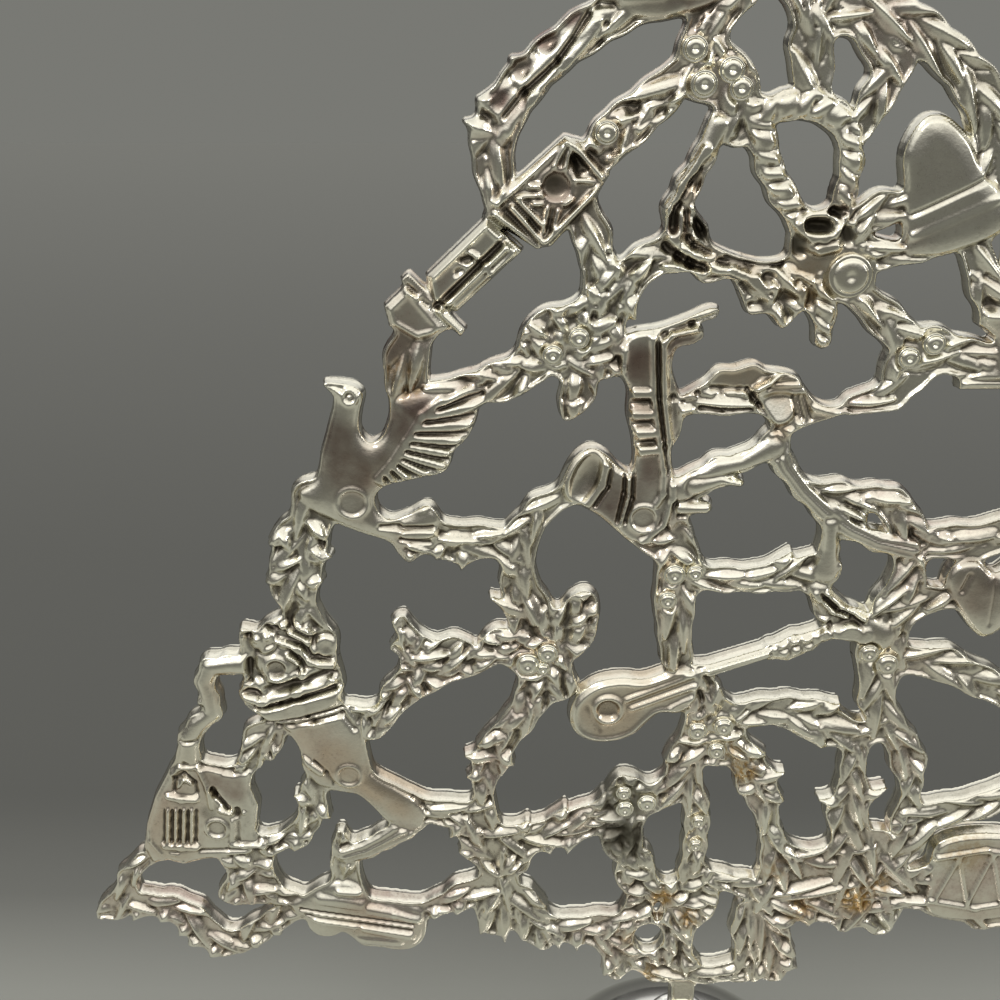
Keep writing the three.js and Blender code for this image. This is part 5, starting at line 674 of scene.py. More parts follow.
def lay_leaf(heights, root, tip, width, top, vein, tilt):
    """One pointed leaf over what lies below it: two sloping halves with a clear edge and a pressed vein."""
    (x0, z0), (x1, z1) = root, tip
    length = math.hypot(x1 - x0, z1 - z0)
    spans, x, z = heights.window([root, tip], width)
    along = ((x - x0) * (x1 - x0) + (z - z0) * (z1 - z0)) / length ** 2
    across = ((x - x0) * (z1 - z0) - (z - z0) * (x1 - x0)) / length
    inside = np.clip(along, 0, 1)
    half = width / 2 * np.sin(np.pi * inside ** 0.75) ** 0.7 + 1e-6
    q = np.abs(across) / half
    face = top - 1.1 * (1 - soft_step(inside * 1.9)) - 0.35 * soft_step((inside - 0.6) * 2.5)
    face = face - LEAF_SLOPE * np.abs(across) - tilt * across + 0.12 * np.clip(1 - np.abs(across) / 0.4, 0, 1)
    face = face + LEAF_STREAK * np.cos(6.1 * across + 2.2 * np.sin(1.1 * along + x0 + z0))
    face = face - vein * bell(across, 0, 0.22) * soft_step((1 - q) * 2)
    face = face - 0.35 * np.clip((q - 0.7) / 0.3, 0, 1) ** 2
    current = heights.values[spans]
    over = (along > 0) & (along < 1) & (q < 1) & (face > current - 0.45 * soft_step(inside * 2.5))
    heights.values[spans] = np.where(over, face, current)


def raise_foliage(heights, top, seed):
    """Leaves laid along every branch, over every leafy patch and where single ones are seen clearly."""
    rng = np.random.default_rng(seed)

    def lay(x, z, turn, long, share, width, drop, veined):
        """A leaf over the point x, z, which lies at that share of the leaf's length."""
        dx, dz = long * math.cos(turn), long * math.sin(turn)
        root = (x - share * dx, z - share * dz)
        lay_leaf(heights, root, (root[0] + dx, root[1] + dz), width, top * rng.uniform(0.2, 0.85) - drop,
                 LEAF_VEIN * (rng.random() < veined), rng.uniform(-0.25, 0.25))

    for name, rows in all_branches().items():
        if name in ROPES + BANDS + BARS or name == "trunk":
            continue
        side = 1 if rng.random() < 0.5 else -1
        for a, b in zip(rows, rows[1:]):
            length = math.hypot(b[0] - a[0], b[1] - a[1])
            heading = math.atan2(b[1] - a[1], b[0] - a[0])
            count = max(1, round(length / LEAF_SPACING))
            for k in range(count):
                t = (k + rng.uniform(0.2, 0.8)) / count
                width = a[2] + t * (b[2] - a[2])
                turn = heading + side * rng.uniform(0.05, 0.6)
                long = rng.uniform(1.2, 1.9) * width + 2.0
                off = side * rng.uniform(0.0, 0.26)
                x = a[0] + t * (b[0] - a[0]) - off * width * math.sin(heading)
                z = a[1] + t * (b[1] - a[1]) + off * width * math.cos(heading)
                lay(x, z, turn, long, 0.4, rng.uniform(0.42, 0.8) * width, abs(off), 0.4)
                side = -side
    for rows in PATCHES.values():
        outline = smooth_outline(rows)
        low, high = outline.min(0), outline.max(0)
        middle = outline.mean(0)
        for z in np.arange(low[1], high[1], PATCH_SPACING):
            for x in np.arange(low[0], high[0], PATCH_SPACING):
                px, pz = x + rng.uniform(-0.8, 0.8), z + rng.uniform(-0.8, 0.8)
                if outline_distance(np.array([[px]]), np.array([[pz]]), outline)[0, 0] > 0:
                    continue
                turn = math.atan2(pz - middle[1], px - middle[0]) + rng.uniform(-0.8, 0.8)
                long = rng.uniform(4.2, 6.4)
                lay(px, pz, turn, long, 0.45, rng.uniform(2.0, 3.2), 0, 0.5)
    for x0, z0, x1, z1, width in LEAVES:
        dx, dz = x1 - x0, z1 - z0
        lay_leaf(heights, (x0 - 0.25 * dx, z0 - 0.25 * dz), (x1 + 0.2 * dx, z1 + 0.2 * dz), width * 1.05, top,
                 LEAF_VEIN, 0.1)
    for x0, z0, x1, z1, width in LENSES:
        lay_leaf(heights, (x0, z0), (x1, z1), width, top, 0.0, 0.1)


def lay_bands(heights):
    """Twisted ropes, smooth bands with a groove along each side and plain round bars."""
    branches = all_branches()
    for name in ROPES + BANDS + BARS:
        rows = branches[name]
        spans, x, z = heights.window([row[:2] for row in rows], max(row[2] for row in rows))
        shape = heights.values[spans].shape
        nearest, tallest = np.full(shape, MARGIN), np.full(shape, -MARGIN)
        travelled = 0.0
        for a, b in zip(rows, rows[1:]):
            away, t, across = stroke_distance(x, z, a, b)
            half = (a[2] + t * (b[2] - a[2])) / 2
            length = math.hypot(b[0] - a[0], b[1] - a[1])
            q = np.clip((away + half) / half, 0, 1)
            if name in ROPES:
                strand = np.abs(np.sin(np.pi * ((travelled + t * length) / ROPE_PITCH + across / half * 0.32)))
                face = -1.05 + 0.9 * np.sqrt(1 - q * q) + 0.65 * strand - 0.5 * (1 - strand) ** 3 * (1 - q)
            else:
                face = 1.1 * np.sqrt(1 - q * q) - 0.7
            if name in BANDS:
                face = face - 0.4 * bell(np.abs(across), 0.3 * half, 0.22)
            nearest, tallest = np.minimum(nearest, away), np.maximum(tallest, face)
            travelled += length
        heights.blend(spans, tallest, soft_step(-nearest / 0.5 + 0.4))


def raise_figures(heights):
    """The ornaments' faces, each with its own finish."""
    for name, (kind, top, border) in FINISHES.items():
        outline = figure_outline(name)
        spans, x, z = heights.window(outline, 0.5)
        depth = -outline_distance(x, z, outline)
        if kind == "round":
            face = top - 0.75 * (1 - np.clip(depth / 3.2, 0, 1)) ** 2
        elif kind == "roof":
            face = np.minimum(-0.5 + np.clip(depth, 0, 4) * 0.34, top)
        else:
            face = np.full(depth.shape, top)
        if border:
            face = face + 0.3 * bell(depth, 0.9, 0.35)
        heights.blend(spans, face, soft_step(depth / 0.6))


def level_pads(heights):
    """The round grounds under toys and bands."""
    for px, pz, radius, level, *slope in PADS:
        spans, x, z = heights.window([(px, pz)], radius + 1)
        weight = soft_step(radius + 0.5 - np.hypot(x - px, z - pz))
        heights.blend(spans, level + sum(slope) * (pz - z), weight)


def carve(heights, x0, z0, x1, z1, width, height):
    """One ridge or groove with round sides; the narrow ones are a little higher or deeper."""
    spans, x, z = heights.window([(x0, z0), (x1, z1)], width)
    away = stroke_distance(x, z, (x0, z0, 0), (x1, z1, 0))[0]
    profile = np.clip(1 - (away / (width * 0.66)) ** 2, 0, 1) ** 0.8
    heights.values[spans] += height * profile * (1.45 if width < 1.3 else 1)


def carve_ridges(heights):
    """The fan of feathers with a groove between each two, then all other ridges and grooves."""
    for row in FEATHERS:
        carve(heights, *row, 0.85, 0.45)
    for one, next_one in zip(FEATHERS, FEATHERS[1:]):
        carve(heights, *[(a + b) / 2 for a, b in zip(one, next_one)], 0.5, -0.5)
    for rows in RIDGES.values():
        for width, height, *line in rows:
            for k in range(0, len(line) - 2, 2):
                carve(heights, *line[k:k + 4], width, height)


def press_bosses(heights):
    """Knobs, pits and rims, and the saxophone's mouth."""
    for kind, rows in BOSSES.items():
        for bx, bz, radius, height in rows:
            spans, rho = heights.round_window(bx, bz, radius, 1.4)
            if kind == "knob":
                change = height * np.sqrt(np.clip(1 - rho ** 2, 0, 1)) - 0.3 * bell(rho, 1.1, 0.1)
            elif kind == "pit":
                change = height * bell(rho, 0.92, 0.2) - 0.45 * np.clip(1 - rho / 0.75, 0, 1) ** 0.3
            else:
                change = 1.8 * height * bell(rho, 0.95, 0.13) - 0.2 * soft_step((1 - rho) * 5)
            heights.values[spans] += change
    mx, mz, half_width, half_height, turn = SAX_MOUTH
    spans, x, z = heights.window([(mx, mz)], 6)
    c, s = math.cos(math.radians(turn)), math.sin(math.radians(turn))
    rho = np.hypot(((x - mx) * c + (z - mz) * s) / half_width, ((z - mz) * c - (x - mx) * s) / half_height)
    heights.values[spans] += 0.25 * bell(rho, 1, 0.16) - 1.1 * np.clip(1 - rho / 0.9, 0, 1) ** 0.5


def seat_berries(heights):
    """A hollow under each berry, so that the berry stands in a ring of shadow."""
    for bx, bz, radius in BERRIES:
        spans, rho = heights.round_window(bx, bz, radius, 1.6)
        heights.blend(spans, -0.6, soft_step((1.35 - rho) / 0.3))


def casting_heights(sheet, sizes):
    """The height of the casting's face, without and with its rounded edge, and the marks painted on it."""
    heights = sheet.blank(-sizes.hollow_depth)
    raise_foliage(heights, sizes.leaf_height, sizes.seed)
    lay_bands(heights)
    raise_figures(heights)
    level_pads(heights)
    carve_ridges(heights)
    press_bosses(heights)
    seat_berries(heights)
    for axis in (0, 1):
        beside = np.roll(heights.values, 1, axis) + np.roll(heights.values, -1, axis)
        heights.values = heights.values * 0.5 + beside / 4
    depth = -sheet.values
    rim = sizes.rim_radius
    falloff = rim - np.sqrt(np.clip(rim ** 2 - np.clip(rim - depth, 0, rim) ** 2, 0, None))
    # Hollow: high in the hollows and fine creases, where the silver is painted darker and warmer, as tarnish
    # and as painted shade.
    broad = (heights.blurred(0.9) - heights.values) * 1.7
    fine = (heights.blurred(0.35) - heights.values) * 5.0
    crests = np.maximum((heights.values - heights.blurred(0.6)) * 3, 1 - depth / 0.6)
    marks = {"hollow": np.clip(np.maximum(broad, fine), 0, 1) * soft_step(depth / 0.7),
             "dull": 1 - np.clip(crests, 0, 1)}
    relief = heights.values * soft_step(depth / 0.7)
    knee = sizes.top_limit * 0.68
    over = sizes.top_limit - knee
    relief = np.where(relief > knee, knee + over * np.tanh((relief - knee) / over), relief)
    return relief, relief - falloff, marks


def march(field):
    """Triangles of the cells inside a field that is positive in the metal, with their border segments."""
    rows, columns = field.shape
    count = rows * columns
    ids = np.arange(count).reshape(rows, columns)
    a, b, c, d = (ids[:-1, :-1].ravel(), ids[:-1, 1:].ravel(), ids[1:, 1:].ravel(), ids[1:, :-1].ravel())
    near = field.ravel()
    kept = (near[a] > 0) | (near[b] > 0) | (near[c] > 0) | (near[d] > 0)
    a, b, c, d = a[kept], b[kept], c[kept], d[kept]
    corners = np.concatenate([np.stack([a, b, c], 1), np.stack([a, c, d], 1)])
    edges = np.concatenate([np.stack([count + a, 2 * count + b, 3 * count + a], 1),
                            np.stack([3 * count + a, count + d, 2 * count + a], 1)])
    inside = near[corners] > 0
    number = inside.sum(1)
    triangles = [corners[number == 3]]
    segments, owners = [], []
    done = len(triangles[0])
    for k in range(3):
        p, q, r = k, (k + 1) % 3, (k + 2) % 3
        one = (number == 1) & inside[:, p]
        triangles.append(np.stack([corners[one, p], edges[one, p], edges[one, r]], 1))
        segments.append(np.stack([edges[one, p], edges[one, r]], 1))
        owners.append(done + np.arange(one.sum()))
        done += one.sum()
        two = (number == 2) & ~inside[:, r]
        triangles.append(np.stack([corners[two, p], corners[two, q], edges[two, q]], 1))
        done += two.sum()
        triangles.append(np.stack([corners[two, p], edges[two, q], edges[two, r]], 1))
        segments.append(np.stack([edges[two, q], edges[two, r]], 1))
        owners.append(done + np.arange(two.sum()))
        done += two.sum()
    return np.concatenate(triangles), np.concatenate(segments), np.concatenate(owners)


class Surface:
    """The whole skin of the casting: points, triangles, the part each belongs to and smooth normals."""

    def __init__(self, sheet, relief, face, marks, sizes):
        cell = sheet.cell
        field = -sheet.values
        slope_z, slope_x = np.gradient(field, cell)
        rise_z, rise_x = np.gradient(relief, cell)
        least = LEAST_DISTANCE * cell
        field = np.where(np.abs(field) < least, np.where(field > 0, least, -least), field)
        triangles, segments, owners = march(field)
        used, packed = np.unique(np.concatenate([triangles.ravel(), segments.ravel()]), return_inverse=True)
        triangles, segments = np.split(packed, [triangles.size])
        triangles, segments = triangles.reshape(-1, 3), segments.reshape(-1, 2)
        columns = field.shape[1]
        kind, at = np.divmod(used, field.size)
        other = at + np.array([0, 1, columns, columns + 1])[kind]
        flat = field.ravel()
        t = np.where(kind > 0, flat[at] / np.where(kind > 0, flat[at] - flat[other], 1), 0)

        def taken(values):
            values = values.ravel()
            return values[at] + t * (values[other] - values[at])

        grid_x, grid_z = np.meshgrid(sheet.x, sheet.z)
        x, z = taken(grid_x), taken(grid_z)
        out = -np.stack([taken(slope_x), taken(slope_z)], 1)
        out /= np.maximum(np.linalg.norm(out, axis=1, keepdims=True), 1e-6)
        y = -(sizes.thickness / 2 + taken(face))
        count = len(used)
        border = np.unique(segments)
        row_of = np.full(count, -1)
        row_of[border] = np.arange(len(border))
        front = np.stack([x, y, z], 1)
        points = [front, front * (1, -1, 1)]
        lean = np.clip(1 - np.where(kind > 0, 0, taken(field)) / sizes.rim, 0, 1)
        level = np.sqrt(1 - lean ** 2)
        facing = np.stack([out[:, 0] * lean - taken(rise_x) * level, -level,
                           out[:, 1] * lean - taken(rise_z) * level], 1)
        normals = [facing, facing * (1, -1, 1)]
        for depth, push, lift in sizes.side_rows:
            side = front[border].copy()
            side[:, 0] += out[border, 0] * push
            side[:, 2] += out[border, 1] * push
            side[:, 1] = depth
            points.append(side)
            normals.append(np.stack([out[border, 0], np.full(len(border), lift), out[border, 1]], 1))
        self.points = np.concatenate(points)
        self.normals = np.concatenate(normals)
        self.normals /= np.linalg.norm(self.normals, axis=1, keepdims=True)
        self.rows = len(sizes.side_rows)
        self.count, self.row_of, self.border_count = count, row_of, len(border)
        self.marks = {name: np.concatenate([taken(values)] * 2 + [taken(values)[border]] * self.rows)
                      for name, values in marks.items()}
        self.marks["dull"][2 * count:] = WALL_DULLNESS
        self.blocks = self.block_numbers(front[triangles].mean(1), sizes.bands)
        p, q = segments.T
        chain_p, chain_q = self.chain(p), self.chain(q)
        walls = []
        for k in range(self.rows + 1):
            walls += [np.stack([chain_q[k], chain_p[k], chain_p[k + 1]], 1),
                      np.stack([chain_q[k], chain_p[k + 1], chain_q[k + 1]], 1)]
        self.triangles = np.concatenate([triangles, triangles[:, [0, 2, 1]] + count] + walls)
        self.block_of = np.concatenate([self.blocks] * 2 + [self.blocks[owners]] * (2 * self.rows + 2))
        self.cuts = self.cut_walls(triangles)

    def chain(self, p):
        """The points down the side of the casting below the border points p, from front to back."""
        rows = [2 * self.count + k * self.border_count + self.row_of[p] for k in range(self.rows)]
        return [p] + rows + [p + self.count]

    def block_numbers(self, middles, bands):
        """Cuts the casting into bands of about equal size, each with a left and a right part."""
        limits = np.quantile(middles[:, 2], np.arange(1, bands) / bands)
        band = np.searchsorted(limits, middles[:, 2])
        centres = np.array([np.median(middles[band == k, 0]) for k in range(bands)])
        return band * 2 + (middles[:, 0] > centres[band])

    def cut_walls(self, triangles):
        """Flat walls that close each part where it meets the next."""
        edges = np.concatenate([triangles[:, [0, 1]], triangles[:, [1, 2]], triangles[:, [2, 0]]])
        block = np.tile(self.blocks, 3)
        key = edges.min(1) * self.count + edges.max(1)
        order = np.argsort(key, kind="stable")
        twins = np.flatnonzero(key[order][1:] == key[order][:-1])
        first, second = order[twins], order[twins + 1]
        apart = block[first] != block[second]
        found = []
        for e in np.concatenate([first[apart], second[apart]]):
            p, q = edges[e]
            down = self.chain(p) if self.row_of[p] >= 0 else [p, p + self.count]
            up = self.chain(q) if self.row_of[q] >= 0 else [q, q + self.count]
            ring = [q] + [int(v) for v in down] + [int(v) for v in up[:0:-1]]
            found += [(*face, block[e]) for face in fan(ring)]
        return np.array(found)

    def part(self, number):
        """Points, normals, marks and triangles of one part."""
        cuts = self.cuts[self.cuts[:, 3] == number][:, :3]
        own = np.concatenate([self.triangles[self.block_of == number], cuts])
        used, packed = np.unique(own, return_inverse=True)
        marks = {name: values[used] for name, values in self.marks.items()}
        return self.points[used], self.normals[used], marks, packed.reshape(-1, 3)


def mesh_from_arrays(name, points, triangles, normals=None, marks=None):
    """A smooth mesh object at the origin, from points in metres."""
    mesh = bpy.data.meshes.new(name)
    mesh.vertices.add(len(points))
    mesh.vertices.foreach_set("co", points.astype(np.float32).ravel())
    mesh.loops.add(triangles.size)
    mesh.loops.foreach_set("vertex_index", triangles.astype(np.int32).ravel())
    mesh.polygons.add(len(triangles))
    mesh.polygons.foreach_set("loop_start", np.arange(0, triangles.size, 3, dtype=np.int32))
    mesh.update(calc_edges=True)
    mesh.validate()
    mesh.shade_smooth()
    for mark, values in (marks or {}).items():
        mesh.attributes.new(mark, "FLOAT", "POINT").data.foreach_set("value", values.astype(np.float32))
    if normals is not None:
        mesh.normals_split_custom_set_from_vertices(normals.tolist())
    obj = bpy.data.objects.new(name, mesh)
    bpy.context.scene.collection.objects.link(obj)
    return obj


def add_node(tree, kind, settings=None, inputs=None):
    """Adds a node to a tree, with its settings and inputs."""
    made = tree.nodes.new(kind)
    for key, value in (settings or {}).items():
        setattr(made, key, value)
    feed(tree, made, inputs or {})
    return made


def feed(tree, node, inputs):
    """Links or sets the inputs of a node."""
    for key, value in inputs.items():
        value = value.socket if isinstance(value, Value) else value
        if isinstance(value, bpy.types.NodeSocket):
            tree.links.new(value, node.inputs[key])
        else:
            node.inputs[key].default_value = value


def grey_ramp(tree, value, stops, tint=(1, 1, 1)):
    """The colour that a ramp through (position, grey) stops gives to a value."""
    made = add_node(tree, "ShaderNodeValToRGB", None, {"Fac": value})
    elements = made.color_ramp.elements
    while len(elements) < len(stops):
        elements.new(0.5)
    for element, (position, grey) in zip(elements, stops):
        element.position, element.color = position, (*[grey * share for share in tint], 1)
    return made.outputs["Color"]


class Value:
    """A number that runs through a material's nodes; sums and products add Math nodes."""

    def __init__(self, finish, socket):
        self.finish, self.socket = finish, socket

    def _math(self, operation, a, b):
        return self.finish.node("ShaderNodeMath", {"operation": operation}, {0: a, 1: b})

    def __add__(self, other):
        return self._math("ADD", self, other)

    def __mul__(self, other):
        return self._math("MULTIPLY", self, other)

    def __sub__(self, other):
        return self._math("SUBTRACT", self, other)

    def __rsub__(self, other):
        return self._math("SUBTRACT", other, self)

    __radd__ = __add__
    __rmul__ = __mul__

    def clipped(self):
        """The value held between 0 and 1."""
        return self.finish.node("ShaderNodeClamp", {}, {"Value": self})


class Finish:
    """A material under construction."""

    def __init__(self, name):
        self.material = bpy.data.materials.new(name)
        self.material.use_nodes = True
        self.tree = self.material.node_tree
        self.place = self.node("ShaderNodeTexCoord", {}, {}, "Object")

    def node(self, kind, settings, inputs, output=0):
        """Adds a node and gives back one output."""
        return Value(self, add_node(self.tree, kind, settings, inputs).outputs[output])

    def noise(self, size_mm, detail=3.0, rough=0.55, stretch=None):
        """Noise whose spots are about the given size."""
        vector = self.place
        if stretch:
            vector = self.node("ShaderNodeMapping", {}, {"Vector": vector, "Scale": stretch}, "Vector")
        return self.node("ShaderNodeTexNoise", {}, {"Vector": vector, "Scale": 1 / (size_mm * MM),
                                                    "Detail": detail, "Roughness": rough}, "Fac")

    def ramp(self, value, *stops):
        """A ramp through (position, grey) stops."""
        return Value(self, grey_ramp(self.tree, value, stops))

    def colour_mix(self, share, *colours):
        """Two colours mixed by a share."""
        first, second = (c if isinstance(c, Value) else (*c, 1) for c in colours)
        return self.node("ShaderNodeMix", {"data_type": "RGBA"}, {0: share, 6: first, 7: second}, 2)

    def mark(self, name):
        """A value painted on the mesh."""
        return self.node("ShaderNodeAttribute", {"attribute_name": name}, {}, "Fac")

    def bump(self, height, distance_mm, strength=1.0, below=None):
        """A bump of the given height, over another one where that is given."""
        inputs = {"Height": height, "Distance": distance_mm * MM, "Strength": strength}
        if below is not None:
            inputs["Normal"] = below
        return self.node("ShaderNodeBump", {}, inputs, "Normal")

    def done(self, **inputs):
        """Sets the shader's own sockets."""
        inputs = {name.replace("_", " "): value for name, value in inputs.items()}
        feed(self.tree, self.tree.nodes["Principled BSDF"], inputs)
        return self.material


def shaded(colour, factor):
    """A colour made lighter or darker."""
    return [min(1, c * factor) for c in colour]


def silver_of_the_casting(look):
    """Silver plate, bright on crests, dull on flat places and dark in hollows, with tarnish and painted shade
    there, and with black and amber spots, the black ones partly painted shade in pits and grooves.
    """
    f = Finish("cast_silver_plate")
    hollow, dull, stain, patina = f.mark("hollow"), f.mark("dull"), f.mark("stain"), f.mark("patina")
    cloud, speck = f.noise(8, 4, 0.6), f.noise(0.9, 3, 0.6)
    clouded = f.ramp(cloud, (0.35, 0), (0.65, 1))
    film = (dull * (0.25 + f.ramp(cloud + speck * 0.35, (0.5, 0), (0.85, 0.9))) * look.film).clipped()
    cast = f.colour_mix(f.ramp(f.noise(24, 2, 0.5), (0.48, 0), (0.58, 1)), look.film_colour, look.mauve_film)
    colour = f.colour_mix(film, look.silver, cast)
    # Dark mauve patina on flat places, and painted shade where its spots lie in grooves and pits.
    dusky = (patina * (0.55 + 0.6 * clouded) * (0.35 + 0.65 * dull)).clipped()
    colour = f.colour_mix(dusky, colour, look.dusk)
    brownish = ((0 - patina) * (0.5 + 0.5 * clouded) * (0.3 + 0.7 * dull)).clipped()
    colour = f.colour_mix(brownish, colour, look.pale_brown)
    # Warmer in random clouds and in the hollows; in the hollows this is tarnish and painted shade.
    warm = (hollow * 0.5 + f.ramp(f.noise(19, 2, 0.5), (0.45, 0), (0.7, 0.35))).clipped()
    colour = f.colour_mix(warm, colour, look.warm_silver)
    # Grey-brown in the hollows and creases, as tarnish and painted shade, and in fine pits mostly on the flat
    # places.
    pits = f.ramp(f.noise(0.45, 3, 0.7), (0.56, 0), (0.7, 0.5)) * (0.25 + 0.75 * dull)
    grime_and_crease_shade = f.ramp(hollow, (0.22, 0), (0.75, 1)) * look.tarnish_and_shade + pits * f.ramp(cloud, (0.4, 0.1), (0.7, 1))
    grime_and_crease_shade = grime_and_crease_shade.clipped()
    colour = f.colour_mix(grime_and_crease_shade, colour, look.tarnish_and_shade_colour)
    amber = (stain * f.ramp(speck + cloud * 0.5, (0.6, 0.15), (0.85, 1.0))).clipped()
    colour = f.colour_mix(amber, colour, look.amber)
    # Black spots: black tarnish, and painted shade where they lie in pits and grooves.
    soot_and_pit_shade = ((0 - stain) * (0.62 + 0.4 * clouded)).clipped()
    colour = f.colour_mix(soot_and_pit_shade, colour, look.soot_and_pit_shade)
    roughness = look.gloss + film * 0.09 + grime_and_crease_shade * 0.2 + soot_and_pit_shade * 0.3 + f.ramp(speck, (0.4, 0), (0.8, 0.1))
    waves = f.bump(f.noise(2.2, 2, 0.5), 0.05, 0.6)
    grain = f.bump(f.noise(0.6, 3, 0.7), 0.05, 0.6, waves)
    return f.done(Base_Color=colour, Metallic=1.0, Roughness=roughness.clipped(), Normal=grain)


def silver_of_the_base(look):
    """The same plate, spun and polished, with fine rings left by the tool and a few soft stains."""
    f = Finish("spun_silver_plate")
    grime_and_crease_shade = f.ramp(f.noise(16, 5, 0.62), (0.52, 0), (0.8, 0.45))
    colour = f.colour_mix(grime_and_crease_shade, look.base_silver, look.warm_silver)
    specks = f.ramp(f.noise(0.8, 2, 0.6), (0.66, 0), (0.8, 0.25))
    colour = f.colour_mix(specks, colour, look.tarnish_and_shade_colour)
    rings = f.noise(0.9, 2, 0.5, (0.02, 0.02, 1.0))
    roughness = (look.gloss + grime_and_crease_shade * 0.16 + f.ramp(rings, (0.4, 0), (0.8, 0.1))).clipped()
    normal = f.bump(rings, 0.012, 0.5, f.bump(f.noise(7, 2, 0.5), 0.05, 0.4))
    return f.done(Base_Color=colour, Metallic=1.0, Roughness=roughness, Normal=normal)


def plain_metal(name, colour, roughness, grain_mm, depth_mm):
    """Steel or cast iron with its own grain."""
    f = Finish(name)
    grain = f.noise(grain_mm, 4, 0.6)
    tint = f.colour_mix(grain, shaded(colour, 0.78), shaded(colour, 1.15))
    rough = (roughness - 0.1 + grain * 0.2).clipped()
    return f.done(Base_Color=tint, Metallic=1.0, Roughness=rough, Normal=f.bump(grain, depth_mm, 0.8))


def felt_finish(colour):
    """Pressed wool felt."""
    f = Finish("pressed_felt")
    hair, cloud = f.noise(0.5, 4, 0.75), f.noise(6, 3, 0.6)
    tint = f.colour_mix(hair * 0.7 + cloud * 0.3, shaded(colour, 0.5), shaded(colour, 1.6))
    return f.done(Base_Color=tint, Roughness=1.0, Sheen_Weight=0.3, Normal=f.bump(hair, 0.2, 1.0))


def floor_finish(pale):
    """A plain pale floor; the camera and the silver see it as the grey sweep of the studio, painted light and
    shade on its colour.
    """
    f = Finish("plain_floor")
    rays = ("Is Camera Ray", "Is Glossy Ray")
    camera, glossy = (f.node("ShaderNodeLightPath", {}, {}, name) for name in rays)
    along = (f.node("ShaderNodeSeparateXYZ", {}, {"Vector": f.place}, "Y") + 0.5) * 0.5
    # Painted light and shade: the camera sees a grey sweep, lighter near the object and in front of it, darkest
    # just behind it and lighter again further back; the silver sees a painted glow brightest just in front.
    shade = f.colour_mix(camera, f.ramp(along, *FRONT_GLOW, *SWEEP), f.ramp(along, *SWEEP))
    tint = f.colour_mix(f.noise(60, 3, 0.5), shaded(pale, 0.97), shaded(pale, 1.03))
    sweep = f.colour_mix(shade, (0, 0, 0), FLOOR_TINT)
    return f.done(Base_Color=f.colour_mix((camera + glossy).clipped(), tint, sweep), Roughness=0.75)


def fan(ring):
    """Triangles that fill a ring of points."""
    return [(ring[0], ring[k], ring[k + 1]) for k in range(1, len(ring) - 1)]


def strip(low, high):
    """Triangles between two rings of points; a ring may be one point repeated."""
    faces = []
    for s in range(len(low)):
        t = (s + 1) % len(low)
        ring = [low[s], low[t], high[t], high[s]]
        faces += fan([v for n, v in enumerate(ring) if v != ring[n - 1]])
    return faces


def turned_piece(name, section, sides):
    """A closed turned piece from rows of radius and height in millimetres, given from the inside out.

    A row may give the half width and half depth of a rectangle in place of a radius."""
    angles = (np.arange(sides) + 0.5) * 2 * math.pi / sides
    on_axis = [not isinstance(radius, tuple) and radius < 1e-6 for radius, height in section]
    points, index = [], []
    for (radius, height), single in zip(section, on_axis):
        start = len(points)
        if single:
            points.append((0, 0, height))
            index.append([start] * sides)
            continue
        for a in angles:
            reach = radius
            if isinstance(radius, tuple):
                reach = min(radius[0] / abs(math.cos(a)), radius[1] / abs(math.sin(a)))
            points.append((reach * math.cos(a), reach * math.sin(a), height))
        index.append(list(range(start, start + sides)))
    faces = []
    for k in range(len(section)):
        after = (k + 1) % len(section)
        if not (on_axis[k] and on_axis[after]):
            faces += strip(index[k], index[after])
    return mesh_from_arrays(name, np.array(points) * MM, np.array(faces))


def rounded(section, radius, steps=4, closed=True):
    """Rounds the corners of a half section."""
    rows = []
    count = len(section)
    for k, here in enumerate(section):
        here = np.array(here, float)
        if not closed and k in (0, count - 1) or here[0] < 1e-6:
            rows.append(here)
            continue
        before, after = np.array(section[k - 1], float), np.array(section[(k + 1) % count], float)
        to, away = before - here, after - here
        reach = min(radius, 0.4 * np.hypot(*to), 0.4 * np.hypot(*away))
        a, b = here + to / np.hypot(*to) * reach, here + away / np.hypot(*away) * reach
        for step in range(steps + 1):
            t = step / steps
            rows.append(a * (1 - t) ** 2 + here * 2 * t * (1 - t) + b * t * t)
    return rows


def berry_profile(steps=24):
    """Radius and height of a berry of radius 1: a dome with a ring and a small pit."""
    rows = [(0.0, -BERRY_FOOT), (0.96, -BERRY_FOOT)]
    for k in range(steps + 1):
        radius = math.cos(k / steps * math.pi / 2) if k < steps else 0.0
        dome = BERRY_DOME * math.sqrt(1 - radius * radius)
        rows.append((radius, dome - 0.1 * bell(radius, 0.8, 0.08) - 0.17 * bell(radius, 0, 0.24)))
    return rows


